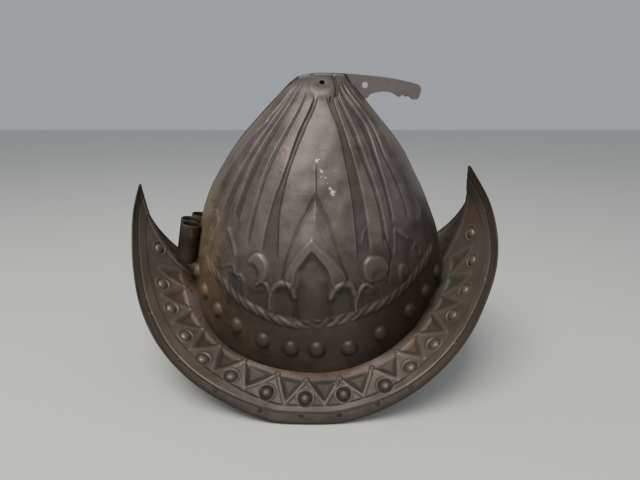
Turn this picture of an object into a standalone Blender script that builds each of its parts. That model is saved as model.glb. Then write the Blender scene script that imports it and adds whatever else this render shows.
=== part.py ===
"""Morion helmet of thin embossed sheet metal.

Two stamped bowl halves meet on an upright seam from the rear of the helmet over the
crown to the front. Two crescent brim halves with a hemmed edge go round the foot of the
bowl and rise to a peak at each end. A scalloped plate is pinched in the seam at the
crown, and three plume tubes stand against the rear. Metres, +Z up, -X the rear, +X the
front, -Y the wearer's right.
"""
import math

import bmesh
import bpy
from mathutils import Vector

# Sheet and joints
WALL = 0.0010
PIECE_GAP = 0.0003
SEAM_FLANGE = 0.0012

# Bowl
BOWL_REAR = 0.1240
BOWL_FRONT = 0.1175
BOWL_HALF_WIDTH = 0.0945
CROWN_HEIGHT = 0.2710
COLLAR_LEVEL = -0.30
CLEARANCE_LEVEL = 0.3
END_POINTING = 1.2
POINTED_END_POWER = 2
BLUNT_END_POWER = 8
BLUNT_REAR = 0.60
BLUNT_FRONT = 0.28
BLUNT_BELOW_LEVEL = 9
CROWN_PART_LEVEL = 8.6
CROWN_PART_TURN = 60.0

# Brim
PEAK_REAR = 0.1726
PEAK_FRONT = 0.1420
PEAK_REAR_HEIGHT = 0.1718
PEAK_FRONT_HEIGHT = 0.1894
BRIM_HALF_WIDTH = 0.1255
REST_DIP = 0.0012
REST_DIP_FADE = 0.03
PEAK_BOW_POWER = 12
REAR_PEAK_BOW = 0.0115
FRONT_PEAK_BOW = 0.0085
SIDE_BOW = 0.0015
HEM_WIDTH = 0.0080
HEM_RISE = 0.0007
HEM_DEPTH = 0.0020
HEM_PLUMB_BELOW = 0.0060
HEM_PLUMB_FADE = 0.0300
BORDER_WIDTH = 0.0065
FLANGE_SPREAD = 0.12
SEAM_OVERRUN = 3.0

# Relief
BOWL_BOSS_RADIUS = 0.0062
BOWL_BOSS_RISE = 0.0045
BRIM_BOSS_RADIUS = 0.0050
BRIM_BOSS_RISE = 0.0030
TRIANGLE_SINK = 0.0008
ROPE_RISE = 0.0020
RIB_RISE = 0.0018
BOSS_SIDES = 8
BOSS_ROOT = 0.0008
APEX_HOLE_RADIUS = 0.0024

# Plume tubes
TUBE_RADIUS = 0.0094
TUBE_WALL = 0.0010
TUBE_FOOT_HEIGHT = 0.1020
TUBE_TOP_HEIGHT = 0.1385
TUBE_SIDES = 16

# Comb plate
PLATE_THICKNESS = 0.0016
PLATE_REACH = 0.0900
PLATE_DEPTH = 0.0220
PLATE_HOLE_RADIUS = 0.0027

# Bowl sections, levels 0 at the foot to 12 at the crown. The reach of the rear seam, the side and the
# front seam is a share of BOWL_REAR, BOWL_HALF_WIDTH and BOWL_FRONT, and each height is a
# share of CROWN_HEIGHT.
BOWL_SECTIONS = [
    # rear reach, height, side reach, height, front reach, height
    (1.000, 0.295, 0.979, 0.102, 1.000, 0.336),
    (0.988, 0.351, 1.000, 0.159, 1.015, 0.376),
    (0.969, 0.410, 1.005, 0.229, 0.992, 0.417),
    (0.942, 0.472, 0.995, 0.314, 0.956, 0.480),
    (0.894, 0.550, 0.958, 0.410, 0.895, 0.546),
    (0.831, 0.622, 0.899, 0.506, 0.828, 0.613),
    (0.750, 0.686, 0.820, 0.594, 0.747, 0.679),
    (0.661, 0.748, 0.720, 0.679, 0.664, 0.745),
    (0.556, 0.809, 0.603, 0.756, 0.562, 0.806),
    (0.424, 0.874, 0.471, 0.830, 0.438, 0.869),
    (0.298, 0.932, 0.317, 0.900, 0.311, 0.932),
    (0.214, 0.970, 0.159, 0.959, 0.226, 0.974),
    (0.159, 0.989, 0.000, 1.000, 0.190, 0.998),
]

# Stations along the brim's edge, from the rear peak's tip to the front peak's. A turn is
# in degrees round the bowl from the rear seam. The reach is a share of PEAK_REAR behind
# the middle and of PEAK_FRONT ahead of it, the side a share of BRIM_HALF_WIDTH, and the
# height a share of that end's peak height.
BRIM_STATIONS = [
    # turn, reach, side, height
    (0.0, -1.000, 0.000, 1.000),
    (7.0, -1.017, 0.108, 0.867),
    (14.0, -1.005, 0.235, 0.730),
    (21.0, -0.968, 0.390, 0.594),
    (29.0, -0.901, 0.566, 0.451),
    (38.0, -0.794, 0.725, 0.314),
    (49.0, -0.643, 0.853, 0.192),
    (62.0, -0.463, 0.932, 0.092),
    (76.0, -0.255, 0.984, 0.017),
    (90.0, -0.035, 1.000, 0.000),
    (104.0, 0.225, 0.988, 0.026),
    (118.0, 0.465, 0.964, 0.106),
    (131.0, 0.676, 0.908, 0.216),
    (142.0, 0.842, 0.829, 0.348),
    (151.0, 0.958, 0.729, 0.496),
    (159.0, 1.046, 0.574, 0.612),
    (166.0, 1.088, 0.398, 0.729),
    (173.0, 1.081, 0.199, 0.855),
    (180.0, 1.000, 0.000, 1.000),
]

# Turns, in degrees from the rear seam, at which the embossed bosses sit
BOWL_BOSS_TURNS = [17, 29, 41, 53.5, 66.5, 79, 90, 103, 116.5, 131, 144, 157]
BRIM_BOSS_TURNS = [5, 18, 27, 37, 47.5, 59.5, 73.5, 87, 100, 114, 125, 136, 147, 156, 166, 174]
BRIM_BOSS_SHARE = 0.81
TRIANGLE_SHARE = 0.30
PANEL_TURNS = (76, 106)

# Rows of the bowl's mesh by level: 0 is the foot and 12 the crown
BOSS_LEVEL = 1.5
ROPE_LEVEL = 2.6
ROPE_HALF_LEVEL = 0.25
BARE_LEVELS = [0.0, 0.75, 3.7, 4.8, 5.9, 7.0, 8.1, 9.2, 10.3, 11.2, 12.0]
RIB_LEVELS = (4.6, 10.8)
ROPE_REAR_TURN = 18.0
ROPE_FADE_TURN = 8.0
APEX_DISC = (93.0, 11.1)

# Outline of the comb plate, from its root under the crown round to its root again. The
# reach is a share of PLATE_REACH ahead of the middle, the drop a share of PLATE_DEPTH
# below the crown.
PLATE_OUTLINE = [
    # reach, drop
    (-0.08, 0.00),
    (0.25, -0.03),
    (0.45, 0.03),
    (0.65, 0.11),
    (0.83, 0.24),
    (0.96, 0.37),
    (1.00, 0.46),
    (1.01, 0.66),
    (0.99, 0.92),
    (0.97, 0.98),
    (0.92, 0.97),
    (0.89, 0.86),
    (0.855, 0.87),
    (0.83, 0.80),
    (0.79, 0.88),
    (0.72, 0.72),
    (0.64, 0.67),
    (0.56, 0.71),
    (0.50, 0.79),
    (0.48, 0.90),
    (0.43, 1.00),
    (0.38, 0.92),
    (0.20, 0.70),
    (-0.08, 0.45),
]
PLATE_HOLE = (0.448, 0.41)

PATINA = (0.085, 0.070, 0.062, 1.0)
TUBE_PATINA = (0.030, 0.022, 0.018, 1.0)


def blend(rows, place):
    """Values on a smooth curve through the rows, at place 0 to len(rows) - 1."""
    last = len(rows) - 1
    index = min(max(math.floor(place), 0), last - 1)
    u = place - index
    here, there = rows[index], rows[index + 1]
    before = rows[index - 1] if index > 0 else [2 * a - b for a, b in zip(here, there)]
    after = rows[index + 2] if index < last - 1 else [2 * b - a for a, b in zip(here, there)]
    values = []
    for a, b, c, d in zip(before, here, there, after):
        slope = (c - a) * u
        bend = (2 * a - 5 * b + 4 * c - d) * u * u
        turn = (3 * b - a - 3 * c + d) * u * u * u
        values.append(0.5 * (2 * b + slope + bend + turn))
    return values


def smooth_step(value):
    """0 below 0, 1 above 1, and a smooth ramp between."""
    t = min(max(value, 0.0), 1.0)
    return t * t * (3 - 2 * t)


def end_rise(cosine, pointed):
    """How far a bowl section has risen from its side height to its end height."""
    blunt = 1 - pointed
    return pointed * cosine**POINTED_END_POWER + blunt * cosine**BLUNT_END_POWER


def bowl_point(turn, level):
    """A point on the bowl's outer face, on the -Y side for turns of 0 to 180."""
    section = blend(BOWL_SECTIONS, level)
    rear, front = -section[0] * BOWL_REAR, section[4] * BOWL_FRONT
    side = section[2] * BOWL_HALF_WIDTH
    ahead, across = -math.cos(math.radians(turn)), math.sin(math.radians(turn))
    x = (rear + front) / 2 + (front - rear) / 2 * ahead
    y = -math.copysign(side * abs(across) ** END_POINTING, across)
    foot_share = max(0.0, 1 - level / BLUNT_BELOW_LEVEL)
    pointed = 1 - (BLUNT_FRONT if ahead > 0 else BLUNT_REAR) * foot_share
    end = section[5] if ahead > 0 else section[1]
    height = section[3] + (end - section[3]) * end_rise(ahead, pointed)
    return Vector((x, y, height * CROWN_HEIGHT))


def brim_edge(turn):
    """A point on the brim's outer edge at a turn."""
    turn_out = abs(turn) if turn < 90 else 180 - abs(180 - turn)
    side = -1 if 0 <= turn <= 180 else 1
    index = 0
    while index < len(BRIM_STATIONS) - 2 and turn_out > BRIM_STATIONS[index + 1][0]:
        index += 1
    start, stop = BRIM_STATIONS[index][0], BRIM_STATIONS[index + 1][0]
    place = index + (turn_out - start) / (stop - start)
    reach, width, height = blend([row[1:] for row in BRIM_STATIONS], place)
    length = PEAK_REAR if reach < 0 else PEAK_FRONT
    peak = PEAK_REAR_HEIGHT if turn_out < 90 else PEAK_FRONT_HEIGHT
    dip = REST_DIP * (1 - smooth_step(height / REST_DIP_FADE))
    low = max(0.0, height * peak - dip)
    return Vector((reach * length, side * width * BRIM_HALF_WIDTH, low))


def foot_clearance(turn):
    """The step from the bowl's foot to the brim's inner edge, round the wall and flange."""
    outward = normal_of(bowl_point, turn, CLEARANCE_LEVEL)
    outward.z = 0
    at_seam = 1 - smooth_step(abs(math.sin(math.radians(turn))) / FLANGE_SPREAD)
    reach = PIECE_GAP + WALL + SEAM_FLANGE * at_seam
    side = (WALL + PIECE_GAP / 2) * (1 - at_seam)
    facing = -1 if 0 < turn < 180 else 1
    return outward.normalized() * reach + Vector((0, facing * side, 0))


def brim_point(turn, share):
    """A point on the brim's upper face, share 0 at the bowl and 1 at the edge."""
    inner, outer = bowl_point(turn, 0.0), brim_edge(turn)
    chord = outer - inner
    run = math.hypot(chord.x, chord.y)
    down = Vector((chord.x / run * chord.z, chord.y / run * chord.z, -run)).normalized()
    ahead = -math.cos(math.radians(turn))
    end_share = ahead**PEAK_BOW_POWER
    bow = FRONT_PEAK_BOW if ahead > 0 else REAR_PEAK_BOW
    depth = bow * end_share + SIDE_BOW * (1 - end_share)
    middle = inner + chord * share + foot_clearance(turn) * (1 - share)
    return middle + down * (4 * share * (1 - share) * depth)


def normal_of(surface, turn, row):
    """Unit normal of a surface, on the right of a walk up it from turn to turn."""
    step_turn, step_row = 0.5, 0.01
    along = surface(turn + step_turn, row) - surface(turn - step_turn, row)
    up = surface(turn, row + step_row) - surface(turn, row - step_row)
    return along.cross(up).normalized()


def brim_normal(turn, share):
    """Unit normal of the brim's upper face."""
    return -normal_of(brim_point, turn, share)


def near(value, centres, reach):
    """Closeness of value to one of the centres: 1 on it and 0 at reach or more."""
    return max(max(0.0, 1 - abs(value - centre) / reach) for centre in centres)


def bowl_relief(turn, level):
    """Height of the embossing on the bowl."""
    if abs(level - ROPE_LEVEL) < 0.01:
        return ROPE_RISE * smooth_step((turn - ROPE_REAR_TURN) / ROPE_FADE_TURN)
    if RIB_LEVELS[0] < level < RIB_LEVELS[1]:
        in_panel = PANEL_TURNS[0] <= turn <= PANEL_TURNS[1]
        return RIB_RISE * (1 if in_panel else near(turn, BOWL_BOSS_TURNS, 0.5))
    return 0.0


def seam_offset(turn, level):
    """How far the seam edge stands off the middle plane; the crown parts for the plate."""
    crown = smooth_step(level - CROWN_PART_LEVEL) * smooth_step(turn / CROWN_PART_TURN)
    return WALL + PIECE_GAP + crown * (PLATE_THICKNESS + PIECE_GAP) / 2


def with_middles(turns):
    """The turns with another halfway between each two."""
    middles = [(a + b) / 2 for a, b in zip(turns, turns[1:])]
    return sorted(turns + middles)


def bowl_columns():
    """Turns of the bowl's mesh columns: one on each boss and between, more at the seams."""
    return [0.0, 4.0, 10.0] + with_middles(BOWL_BOSS_TURNS) + [164.0, 171.0, 176.0, 180.0]


def bowl_rows():
    """Levels of the bowl's mesh rows."""
    rope = [ROPE_LEVEL - ROPE_HALF_LEVEL, ROPE_LEVEL, ROPE_LEVEL + ROPE_HALF_LEVEL]
    return sorted([COLLAR_LEVEL, BOSS_LEVEL] + BARE_LEVELS + rope)


def bowl_mesh_point(turns, levels, column, row):
    """Place of a bowl mesh corner; the outermost columns and the top row are the flange."""
    turn = turns[min(max(column - 1, 0), len(turns) - 1)]
    level = levels[min(row, len(levels) - 1)]
    point = bowl_point(turn, level)
    if 0 < turn < 180 and level < BARE_LEVELS[-1]:
        point += normal_of(bowl_point, turn, level) * bowl_relief(turn, level)
    point.y -= seam_offset(turn, level)
    outward = Vector((0, 0, 0))
    if column == 0 or column == len(turns) + 1:
        outward = normal_of(bowl_point, turn, min(level, BARE_LEVELS[-1] - 0.5))
        outward.y = 0
    if row == len(levels):
        outward += Vector((0, 0, 1))
    if outward.length > 0:
        point += outward.normalized() * SEAM_FLANGE
    return point


def brim_row_shares(turn):
    """Shares of the brim's mesh rows at a turn, from the bowl to the edge."""
    span = brim_edge(turn) - bowl_point(turn, 0.0)
    tangent = (brim_edge(turn + 0.5) - brim_edge(turn - 0.5)).normalized()
    width = span.cross(tangent).length
    hem = 1 - HEM_WIDTH / width
    border = 1 - (HEM_WIDTH + BORDER_WIDTH) / width
    return [0.0, TRIANGLE_SHARE * border, BRIM_BOSS_SHARE * border, border, hem, 1.0]


def brim_columns():
    """Turns of the brim's mesh columns, past the seam at both ends."""
    past_seam = 180.0 + SEAM_OVERRUN
    return [-SEAM_OVERRUN, 0.0] + with_middles(BRIM_BOSS_TURNS) + [180.0, past_seam]


def brim_relief(turn, row):
    """Height of the embossing at a row of the brim's mesh."""
    if row == 1:
        return -TRIANGLE_SINK * (1 - near(turn, BRIM_BOSS_TURNS, 0.3))
    return HEM_RISE if row >= 4 else 0.0


def brim_mesh_point(turns, column, row):
    """Place of a brim mesh corner; the last row is the hem turned under the edge."""
    turn = turns[column]
    turn_in = min(max(turn, 1.0), 179.0)
    shares = brim_row_shares(turn_in)
    edge = brim_edge(turn)
    fold = -brim_normal(turn, shares[-2])
    plumb = 1 - smooth_step((edge.z - HEM_PLUMB_BELOW) / HEM_PLUMB_FADE)
    fold = (fold * (1 - plumb) + Vector((0, 0, -1)) * plumb).normalized()
    share = shares[min(row, len(shares) - 1)]
    upward = brim_normal(turn, share)
    point = brim_point(turn, share) - fold * HEM_DEPTH * share
    point += upward * brim_relief(turn, row)
    if row == len(shares):
        point += fold * (HEM_DEPTH + HEM_RISE * upward.z)
    return point


def shell_from_grid(name, columns, rows, place, upside_down, material, collection):
    """A sheet on a grid whose corners place(column, row) gives, thickened inwards."""
    sheet = bmesh.new()
    bmesh.ops.create_grid(sheet, x_segments=columns - 1, y_segments=rows - 1, size=0.5)
    for corner in sheet.verts:
        column = round((corner.co.x + 0.5) * (columns - 1))
        row = round((corner.co.y + 0.5) * (rows - 1))
        corner.co = place(column, row)
    if upside_down:
        bmesh.ops.reverse_faces(sheet, faces=sheet.faces)
    bmesh.ops.triangulate(sheet, faces=sheet.faces)
    mesh = bpy.data.meshes.new(name)
    sheet.to_mesh(mesh)
    sheet.free()
    mesh.shade_smooth()
    piece = bpy.data.objects.new(name, mesh)
    piece.data.materials.append(material)
    collection.objects.link(piece)
    thicken(piece)
    return piece


def thicken(piece):
    """Give an open sheet its wall, on the inner side."""
    wall = piece.modifiers.new("Wall", "SOLIDIFY")
    wall.thickness = WALL
    wall.offset = -1.0
    wall.use_even_offset = True
    wall.use_quality_normals = True


def cut(piece, cutter, label):
    """Cut a piece with a cutter that stays in the scene."""
    step = piece.modifiers.new(label, "BOOLEAN")
    step.operation = "DIFFERENCE"
    step.solver = "EXACT"
    step.object = cutter


def add_domes(piece, label, facing, places, radius, rise, collection):
    """Raise round bosses on a piece; places are points and normals of its -Y half."""
    domes = bmesh.new()
    for point, normal in places:
        dome = bmesh.ops.create_uvsphere(domes, u_segments=BOSS_SIDES, v_segments=4, radius=1.0)
        lie = normal.to_track_quat("Z", "Y")
        for corner in dome["verts"]:
            x, y, z = corner.co
            height = z * rise if z > 0 else z * BOSS_ROOT
            corner.co = point + lie @ Vector((x * radius, y * radius, height))
            corner.co.y *= facing
    bmesh.ops.recalc_face_normals(domes, faces=domes.faces)
    bmesh.ops.triangulate(domes, faces=domes.faces)
    tool = cutter_from(domes, piece.name + "_bosses", collection)
    step = piece.modifiers.new(label, "BOOLEAN")
    step.operation = "UNION"
    step.solver = "EXACT"
    step.object = tool


def block_cutter(name, low, high, collection):
    """A box-shaped cutter between two corners."""
    block = bmesh.new()
    bmesh.ops.create_cube(block, size=1.0)
    for corner in block.verts:
        corner.co = Vector([(b - a) * c + (a + b) / 2 for a, b, c in zip(low, high, corner.co)])
    return cutter_from(block, name, collection)


def rod_cutter(name, centre, radius, length, collection):
    """A round cutter along Y."""
    rod = bmesh.new()
    bmesh.ops.create_cone(
        rod, cap_ends=True, segments=12, radius1=radius, radius2=radius, depth=length
    )
    for corner in rod.verts:
        x, y, z = corner.co
        corner.co = Vector((centre[0] + x, centre[1] + z, centre[2] - y))
    return cutter_from(rod, name, collection)


def cutter_from(shape, name, collection):
    """Make a hidden cutter object from a closed shape."""
    mesh = bpy.data.meshes.new(name)
    shape.to_mesh(mesh)
    shape.free()
    cutter = bpy.data.objects.new(name, mesh)
    cutter.hide_render = True
    cutter.display_type = "WIRE"
    collection.objects.link(cutter)
    return cutter


def mirror_to_left(piece, name, collection):
    """The other half of a pair: the same mesh turned over the middle plane."""
    mesh = piece.data.copy()
    shape = bmesh.new()
    shape.from_mesh(mesh)
    for corner in shape.verts:
        corner.co.y = -corner.co.y
    bmesh.ops.reverse_faces(shape, faces=shape.faces)
    shape.to_mesh(mesh)
    shape.free()
    mesh.name = name
    other = bpy.data.objects.new(name, mesh)
    collection.objects.link(other)
    thicken(other)
    return other


def metal(name, colour, roughness):
    """A plain metal finish."""
    material = bpy.data.materials.new(name)
    material.use_nodes = True
    shader = material.node_tree.nodes["Principled BSDF"]
    shader.inputs["Base Color"].default_value = colour
    shader.inputs["Metallic"].default_value = 0.7
    shader.inputs["Roughness"].default_value = roughness
    return material


def level_at_height(turn, height):
    """The bowl level whose point at a turn lies at a height."""
    low, high = 0.0, BLUNT_BELOW_LEVEL
    for _ in range(40):
        middle = (low + high) / 2
        if bowl_point(turn, middle).z < height:
            low = middle
        else:
            high = middle
    return low


def tube_axis_point(side, height):
    """A point on a plume tube's axis; side is -1, 0 or 1 pitch from the middle plane."""
    stand_off = TUBE_RADIUS + PIECE_GAP
    if side == 0:
        seam = bowl_point(0.0, level_at_height(0.0, height))
        return Vector((seam.x - SEAM_FLANGE - stand_off, 0.0, height))
    pitch = 2 * TUBE_RADIUS + PIECE_GAP
    low, high = 0.5, 60.0
    for _ in range(40):
        turn = (low + high) / 2
        level = level_at_height(turn, height)
        outward = normal_of(bowl_point, turn, level)
        outward.z = 0
        point = bowl_point(turn, level) + outward.normalized() * stand_off
        point.y -= WALL + PIECE_GAP / 2
        if -point.y < pitch:
            low = turn
        else:
            high = turn
    return Vector((point.x, side * pitch, height))


def plume_tube(name, side, material, collection):
    """An open tube: a turned wall section with a Screw, stood along the bowl's rear."""
    foot = tube_axis_point(side, TUBE_FOOT_HEIGHT)
    top = tube_axis_point(side, TUBE_TOP_HEIGHT)
    middle = tube_axis_point(side, (TUBE_FOOT_HEIGHT + TUBE_TOP_HEIGHT) / 2)
    bulge = max(0.0, (foot.x + top.x) / 2 - middle.x)
    foot.x -= bulge
    top.x -= bulge
    length = (top - foot).length
    wall = bmesh.new()
    inside = TUBE_RADIUS - TUBE_WALL
    ring = [(TUBE_RADIUS, length), (TUBE_RADIUS, 0), (inside, 0), (inside, length)]
    corners = [wall.verts.new((radius, 0, height)) for radius, height in ring]
    for index, corner in enumerate(corners):
        wall.edges.new((corner, corners[(index + 1) % len(corners)]))
    mesh = bpy.data.meshes.new(name)
    wall.to_mesh(mesh)
    wall.free()
    tube = bpy.data.objects.new(name, mesh)
    tube.data.materials.append(material)
    collection.objects.link(tube)
    turned = tube.modifiers.new("Turned", "SCREW")
    turned.steps = TUBE_SIDES
    turned.render_steps = TUBE_SIDES
    turned.use_merge_vertices = True
    turned.merge_threshold = 0.00001
    turned.use_normal_calculate = False
    tube.location = foot
    tube.rotation_mode = "QUATERNION"
    tube.rotation_quaternion = (top - foot).to_track_quat("Z", "Y")
    return tube


def comb_plate(material, collection, cutters):
    """A flat plate cut from sheet, with its pin hole."""
    curve = bpy.data.curves.new("comb_plate_outline", "CURVE")
    curve.dimensions = "2D"
    curve.fill_mode = "BOTH"
    curve.extrude = PLATE_THICKNESS / 2
    line = curve.splines.new("POLY")
    line.points.add(len(PLATE_OUTLINE) - 1)
    for point, (reach, drop) in zip(line.points, PLATE_OUTLINE):
        point.co = (reach * PLATE_REACH, CROWN_HEIGHT - drop * PLATE_DEPTH, 0, 1)
    line.use_cyclic_u = True
    outline = bpy.data.objects.new("comb_plate_outline", curve)
    outline.rotation_euler = (math.pi / 2, 0, 0)
    cutters.objects.link(outline)
    bpy.context.view_layer.update()
    evaluated = outline.evaluated_get(bpy.context.evaluated_depsgraph_get())
    mesh = bpy.data.meshes.new_from_object(evaluated)
    shape = bmesh.new()
    shape.from_mesh(mesh)
    bmesh.ops.remove_doubles(shape, verts=shape.verts, dist=0.00001)
    shape.to_mesh(mesh)
    shape.free()
    plate = bpy.data.objects.new("comb_plate", mesh)
    plate.matrix_world = outline.matrix_world
    plate.data.materials.clear()
    plate.data.materials.append(material)
    collection.objects.link(plate)
    bpy.data.objects.remove(outline)
    reach, drop = PLATE_HOLE
    centre = (reach * PLATE_REACH, 0, CROWN_HEIGHT - drop * PLATE_DEPTH)
    hole = rod_cutter("plate_hole", centre, PLATE_HOLE_RADIUS, PLATE_THICKNESS * 4, cutters)
    cut(plate, hole, "Pin hole")
    return plate


for old in list(bpy.data.objects):
    bpy.data.objects.remove(old)
helmet = bpy.data.collections.new("morion_helmet")
cutters = bpy.data.collections.new("cutters")
for group in (helmet, cutters):
    bpy.context.scene.collection.children.link(group)
sheet_metal = metal("blackened_sheet", PATINA, 0.5)
tube_metal = metal("tube_sheet", TUBE_PATINA, 0.6)

# The bowl halves, with the hole through the disc at the crown
turns, levels = bowl_columns(), bowl_rows()
bowl_right = shell_from_grid(
    "bowl_half_right", len(turns) + 2, len(levels) + 1,
    lambda column, row: bowl_mesh_point(turns, levels, column, row),
    False, sheet_metal, helmet,
)
bowl_left = mirror_to_left(bowl_right, "bowl_half_left", helmet)
disc_centre = bowl_point(*APEX_DISC)
apex_hole = rod_cutter(
    "apex_hole", (disc_centre.x, 0, disc_centre.z), APEX_HOLE_RADIUS, BOWL_HALF_WIDTH, cutters
)
for half in (bowl_right, bowl_left):
    cut(half, apex_hole, "Apex hole")
bowl_places = []
for turn in BOWL_BOSS_TURNS:
    place = bowl_point(turn, BOSS_LEVEL) + Vector((0, -seam_offset(turn, BOSS_LEVEL), 0))
    bowl_places.append((place, normal_of(bowl_point, turn, BOSS_LEVEL)))
for half, facing in ((bowl_right, 1), (bowl_left, -1)):
    add_domes(half, "Bosses", facing, bowl_places, BOWL_BOSS_RADIUS, BOWL_BOSS_RISE, cutters)

# The brim halves, mitred at the middle plane
brim_turns = brim_columns()
brim_right = shell_from_grid(
    "brim_half_right", len(brim_turns), len(brim_row_shares(90.0)) + 1,
    lambda column, row: brim_mesh_point(brim_turns, column, row),
    True, sheet_metal, helmet,
)
brim_left = mirror_to_left(brim_right, "brim_half_left", helmet)
far = 2 * PEAK_REAR
brim_places = []
for turn in BRIM_BOSS_TURNS:
    shares = brim_row_shares(turn)
    column = brim_turns.index(turn)
    place = brim_mesh_point(brim_turns, column, 2)
    brim_places.append((place, brim_normal(turn, shares[2])))
for half, side in ((brim_right, -1), (brim_left, 1)):
    low, high = sorted((side * PIECE_GAP / 2, -side * far))
    seam = block_cutter(half.name + "_seam_cut", (-far, low, -far), (far, high, far), cutters)
    cut(half, seam, "Seam")
    add_domes(half, "Bosses", -side, brim_places, BRIM_BOSS_RADIUS, BRIM_BOSS_RISE, cutters)

# The plate in the crown and the plume tubes behind
comb_plate(sheet_metal, helmet, cutters)
for side, label in ((-1, "right"), (0, "middle"), (1, "left")):
    plume_tube("plume_tube_" + label, side, tube_metal, helmet)

# Centre the helmet over the origin
bpy.context.view_layer.update()
finished_brim = brim_right.evaluated_get(bpy.context.evaluated_depsgraph_get())
reaches = [corner.co.x for corner in finished_brim.data.vertices]
helmet_frame = bpy.data.objects.new("helmet_frame", None)
helmet_frame.location.x = -(min(reaches) + max(reaches)) / 2
cutters.objects.link(helmet_frame)
for piece in list(helmet.objects) + list(cutters.objects):
    if piece is not helmet_frame:
        piece.parent = helmet_frame
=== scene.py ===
"""The looks of a morion helmet of thin embossed steel sheet, blackened and worn.

The helmet stands on the lowest stretch of its brim. Metres, +Z up, -X the rear, +X the
front, -Y the wearer's right.
"""
import math

import bmesh
import bpy
import numpy as np
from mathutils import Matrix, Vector


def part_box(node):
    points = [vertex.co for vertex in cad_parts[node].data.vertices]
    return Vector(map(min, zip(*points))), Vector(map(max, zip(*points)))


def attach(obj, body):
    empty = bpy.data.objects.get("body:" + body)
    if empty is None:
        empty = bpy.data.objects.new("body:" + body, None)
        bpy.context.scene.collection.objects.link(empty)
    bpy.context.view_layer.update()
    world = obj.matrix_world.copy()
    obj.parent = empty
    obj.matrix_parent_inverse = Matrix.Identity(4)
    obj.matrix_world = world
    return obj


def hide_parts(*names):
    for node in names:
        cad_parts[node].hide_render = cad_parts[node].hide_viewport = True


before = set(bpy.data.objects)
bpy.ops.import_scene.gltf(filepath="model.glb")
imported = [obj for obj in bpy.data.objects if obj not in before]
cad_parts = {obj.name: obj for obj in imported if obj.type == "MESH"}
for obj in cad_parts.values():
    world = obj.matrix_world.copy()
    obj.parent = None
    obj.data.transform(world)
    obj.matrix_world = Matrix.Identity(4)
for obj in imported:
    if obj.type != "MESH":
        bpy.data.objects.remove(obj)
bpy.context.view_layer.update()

# The bowl is two halves of 1 mm steel sheet. Each is pressed over a former with ribs that
# fan down from a disc, a border of leaves and scrolls, a rope and a row of bosses. The
# halves meet on an upright seam, with a narrow flange along the edge of each.
WALL = 0.0010
PIECE_GAP = 0.0003
SEAM_FLANGE = 0.0012
SEAM_FILL = 0.00026
BOWL_REAR = 0.1240
BOWL_FRONT = 0.1175
BOWL_HALF_WIDTH = 0.0945
CROWN_HEIGHT = 0.2710
COLLAR_LEVEL = -0.30
END_POINTING = 1.2
BLUNT_REAR = 0.60
BLUNT_FRONT = 0.28
BLUNT_BELOW_LEVEL = 9
CROWN_PART_LEVEL = 8.6
CROWN_PART_TURN = 60.0
CROWN_PARTING = 0.00095
CROWN_LEVEL = 12.0
PLATE_REACH = 0.0900
PLATE_END = 1.01
MIDDLE = float(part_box("comb_plate")[1].x) - PLATE_END * PLATE_REACH

# Bowl sections from the foot, level 0, to the crown, level 12. Reaches are shares of
# BOWL_REAR, BOWL_HALF_WIDTH and BOWL_FRONT, and heights are shares of CROWN_HEIGHT.
BOWL_SECTIONS = [
    # rear reach, height, side reach, height, front reach, height
    (1.000, 0.295, 0.979, 0.102, 1.000, 0.336),
    (0.988, 0.351, 1.000, 0.159, 1.015, 0.376),
    (0.969, 0.410, 1.005, 0.229, 0.992, 0.417),
    (0.942, 0.472, 0.995, 0.314, 0.956, 0.480),
    (0.894, 0.550, 0.958, 0.410, 0.895, 0.546),
    (0.831, 0.622, 0.899, 0.506, 0.828, 0.613),
    (0.750, 0.686, 0.820, 0.594, 0.747, 0.679),
    (0.661, 0.748, 0.720, 0.679, 0.664, 0.745),
    (0.556, 0.809, 0.603, 0.756, 0.562, 0.806),
    (0.424, 0.874, 0.471, 0.830, 0.438, 0.869),
    (0.298, 0.932, 0.317, 0.900, 0.311, 0.932),
    (0.214, 0.970, 0.159, 0.959, 0.226, 0.974),
    (0.159, 0.989, 0.000, 1.000, 0.190, 0.998),
]

# Grooves between the ribs: the turns, in degrees from the rear seam, of their two edges at
# each of the levels of GROOVE_LEVELS.
GROOVE_LEVELS = [4.5, 6.0, 7.5, 9.0, 10.3]
GROOVES = [
    # depth, bottom level, rear edge's turns, front edge's turns
    (0.0011, 4.6, (20, 23, 27, 31.5, 34), (27, 31.5, 34.5, 36.5, 37)),
    (0.0014, 4.9, (34, 35, 37.5, 39.5, 40), (39, 40.5, 41.7, 43.5, 44)),
    (0.0015, 5.2, (45, 44.5, 45, 47.5, 50), (49, 48.5, 50, 51, 54)),
    (0.0012, 4.6, (55.7, 56, 57.2, 61, 66), (57.7, 58, 59.4, 63.2, 68)),
    (0.0017, 4.2, (64.5, 66, 70, 72.5, 81), (73, 71, 72.5, 77, 86.5)),
    (0.0017, 4.4, (108.5, 109, 108.3, 107, 100.5), (115, 115.5, 114.5, 112.5, 109)),
    (0.0014, 4.6, (122, 122.8, 120.2, 118.7, 116), (124.2, 125, 123, 122.5, 119.5)),
    (0.0015, 5.2, (128, 129.5, 129, 129.5, 125), (130, 131.7, 132.7, 136.5, 131)),
    (0.0013, 5.0, (139, 140.5, 138, 141, 138), (141.5, 142.7, 140.6, 145, 142)),
    (0.0009, 4.6, (146, 146, 145, 149, 148), (153, 153, 152.5, 155.5, 153)),
]
GROOVE_EDGE = 0.0016
GROOVE_END_FADE = 0.35
RIB_RISE = 0.0006
RIB_FOOT_LEVEL = 4.3
RIB_FOOT_FADE = 0.5
RIB_TOP_LEVEL = 11.4
RIB_TOP_FADE = 1.3

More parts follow.
